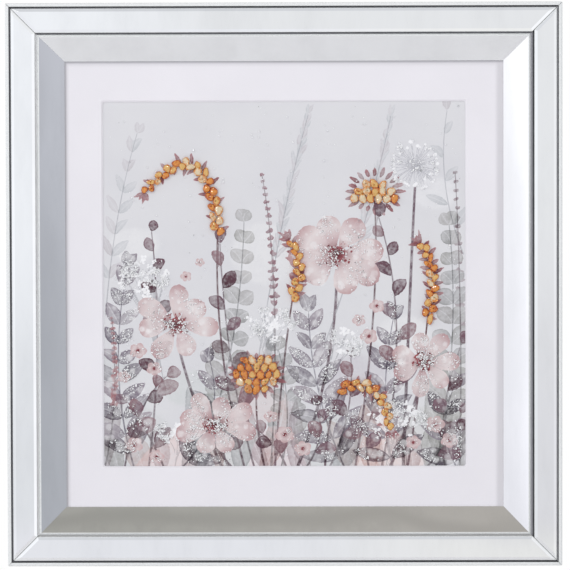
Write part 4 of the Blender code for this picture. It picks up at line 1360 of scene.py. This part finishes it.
class StageSettings(bpy.types.PropertyGroup):
    camera_azimuth: FloatProperty(
        name="Azimuth", description="Camera to the right of the front", default=math.radians(0.6), subtype="ANGLE"
    )
    camera_elevation: FloatProperty(
        name="Elevation", description="Camera above the middle", default=math.radians(2.2), subtype="ANGLE"
    )
    camera_roll: FloatProperty(
        name="Roll", description="Turn of the camera about its view", default=math.radians(-0.16), subtype="ANGLE"
    )
    camera_distance: FloatProperty(
        name="Distance", description="From the camera to the panel", default=3.5, unit="LENGTH"
    )
    camera_angle: FloatProperty(
        name="Field of View", description="Angle across the picture", default=math.radians(9.29), subtype="ANGLE"
    )
    aim_across: FloatProperty(
        name="Aim Across", description="Where the camera aims, across", default=0.0005, unit="LENGTH"
    )
    aim_up: FloatProperty(
        name="Aim Up", description="Where the camera aims, upwards", default=-0.0012, unit="LENGTH"
    )
    studio_level: FloatProperty(
        name="Studio Level", description="Brightness of the studio", default=1.0, subtype="FACTOR"
    )
    key_power: FloatProperty(
        name="Key Power", description="Power of the key light", default=9.0, subtype="POWER"
    )


class FRAME_OT_strips(bpy.types.Operator):
    """Build the bevelled mirror strips of the face, the slope and the sides"""

    bl_idname = "picture_frame.build_strips"
    bl_label = "Build Mirror Strips"

    def execute(self, context):
        build_strips(context.scene.frame_strips)
        return {"FINISHED"}


class FRAME_OT_print(bpy.types.Operator):
    """Build the panel and paint its print"""

    bl_idname = "picture_frame.build_print"
    bl_label = "Build Printed Panel"

    def execute(self, context):
        build_print(context.scene.frame_print)
        return {"FINISHED"}


class FRAME_OT_amber(bpy.types.Operator):
    """Set the amber chips on the panel"""

    bl_idname = "picture_frame.build_amber"
    bl_label = "Build Amber Chips"

    def execute(self, context):
        build_amber(context.scene.frame_amber)
        return {"FINISHED"}


class FRAME_OT_glass(bpy.types.Operator):
    """Lay the crushed glass on the flowers and leaves of the printed panel"""

    bl_idname = "picture_frame.build_crushed_glass"
    bl_label = "Build Crushed Glass"

    def execute(self, context):
        build_crushed_glass(context.scene.frame_glass)
        return {"FINISHED"}


class FRAME_OT_boards(bpy.types.Operator):
    """Finish the core, the mat, the card and the back board"""

    bl_idname = "picture_frame.finish_boards"
    bl_label = "Finish Boards"

    def execute(self, context):
        finish_boards(context.scene.frame_boards)
        return {"FINISHED"}


class FRAME_OT_fixings(bpy.types.Operator):
    """Build the screws and the hanger plates"""

    bl_idname = "picture_frame.build_fixings"
    bl_label = "Build Fixings"

    def execute(self, context):
        build_fixings(context.scene.frame_fixings)
        return {"FINISHED"}


class FRAME_OT_stage(bpy.types.Operator):
    """Set the floor, the studio, the light and the camera"""

    bl_idname = "picture_frame.set_stage"
    bl_label = "Set Stage"

    def execute(self, context):
        set_stage(context.scene.frame_stage)
        return {"FINISHED"}


class FRAME_PT_panel(bpy.types.Panel):
    """The frame's operators and settings"""

    bl_idname = "FRAME_PT_panel"
    bl_label = "Mirrored Picture Frame"
    bl_space_type = "VIEW_3D"
    bl_region_type = "UI"
    bl_category = "Picture Frame"

    def draw(self, context):
        for operator in OPERATORS:
            self.layout.operator(operator.bl_idname)
        for name, group in SETTINGS.items():
            box = self.layout.box()
            for field in group.__annotations__:
                box.prop(getattr(context.scene, name), field)


OPERATORS = (
    FRAME_OT_strips,
    FRAME_OT_print,
    FRAME_OT_amber,
    FRAME_OT_glass,
    FRAME_OT_boards,
    FRAME_OT_fixings,
    FRAME_OT_stage,
)
SETTINGS = {
    "frame_strips": StripSettings,
    "frame_print": PrintSettings,
    "frame_amber": AmberSettings,
    "frame_glass": GlassSettings,
    "frame_boards": BoardSettings,
    "frame_fixings": FixingSettings,
    "frame_stage": StageSettings,
}


def register():
    for cls in (*SETTINGS.values(), *OPERATORS, FRAME_PT_panel):
        bpy.utils.register_class(cls)
    for name, cls in SETTINGS.items():
        setattr(bpy.types.Scene, name, PointerProperty(type=cls))


def unregister():
    for name in SETTINGS:
        delattr(bpy.types.Scene, name)
    for cls in reversed((*SETTINGS.values(), *OPERATORS, FRAME_PT_panel)):
        bpy.utils.unregister_class(cls)


def main():
    register()
    for operator in OPERATORS:
        group, name = operator.bl_idname.split(".")
        getattr(getattr(bpy.ops, group), name)()


if __name__ == "__main__":
    main()
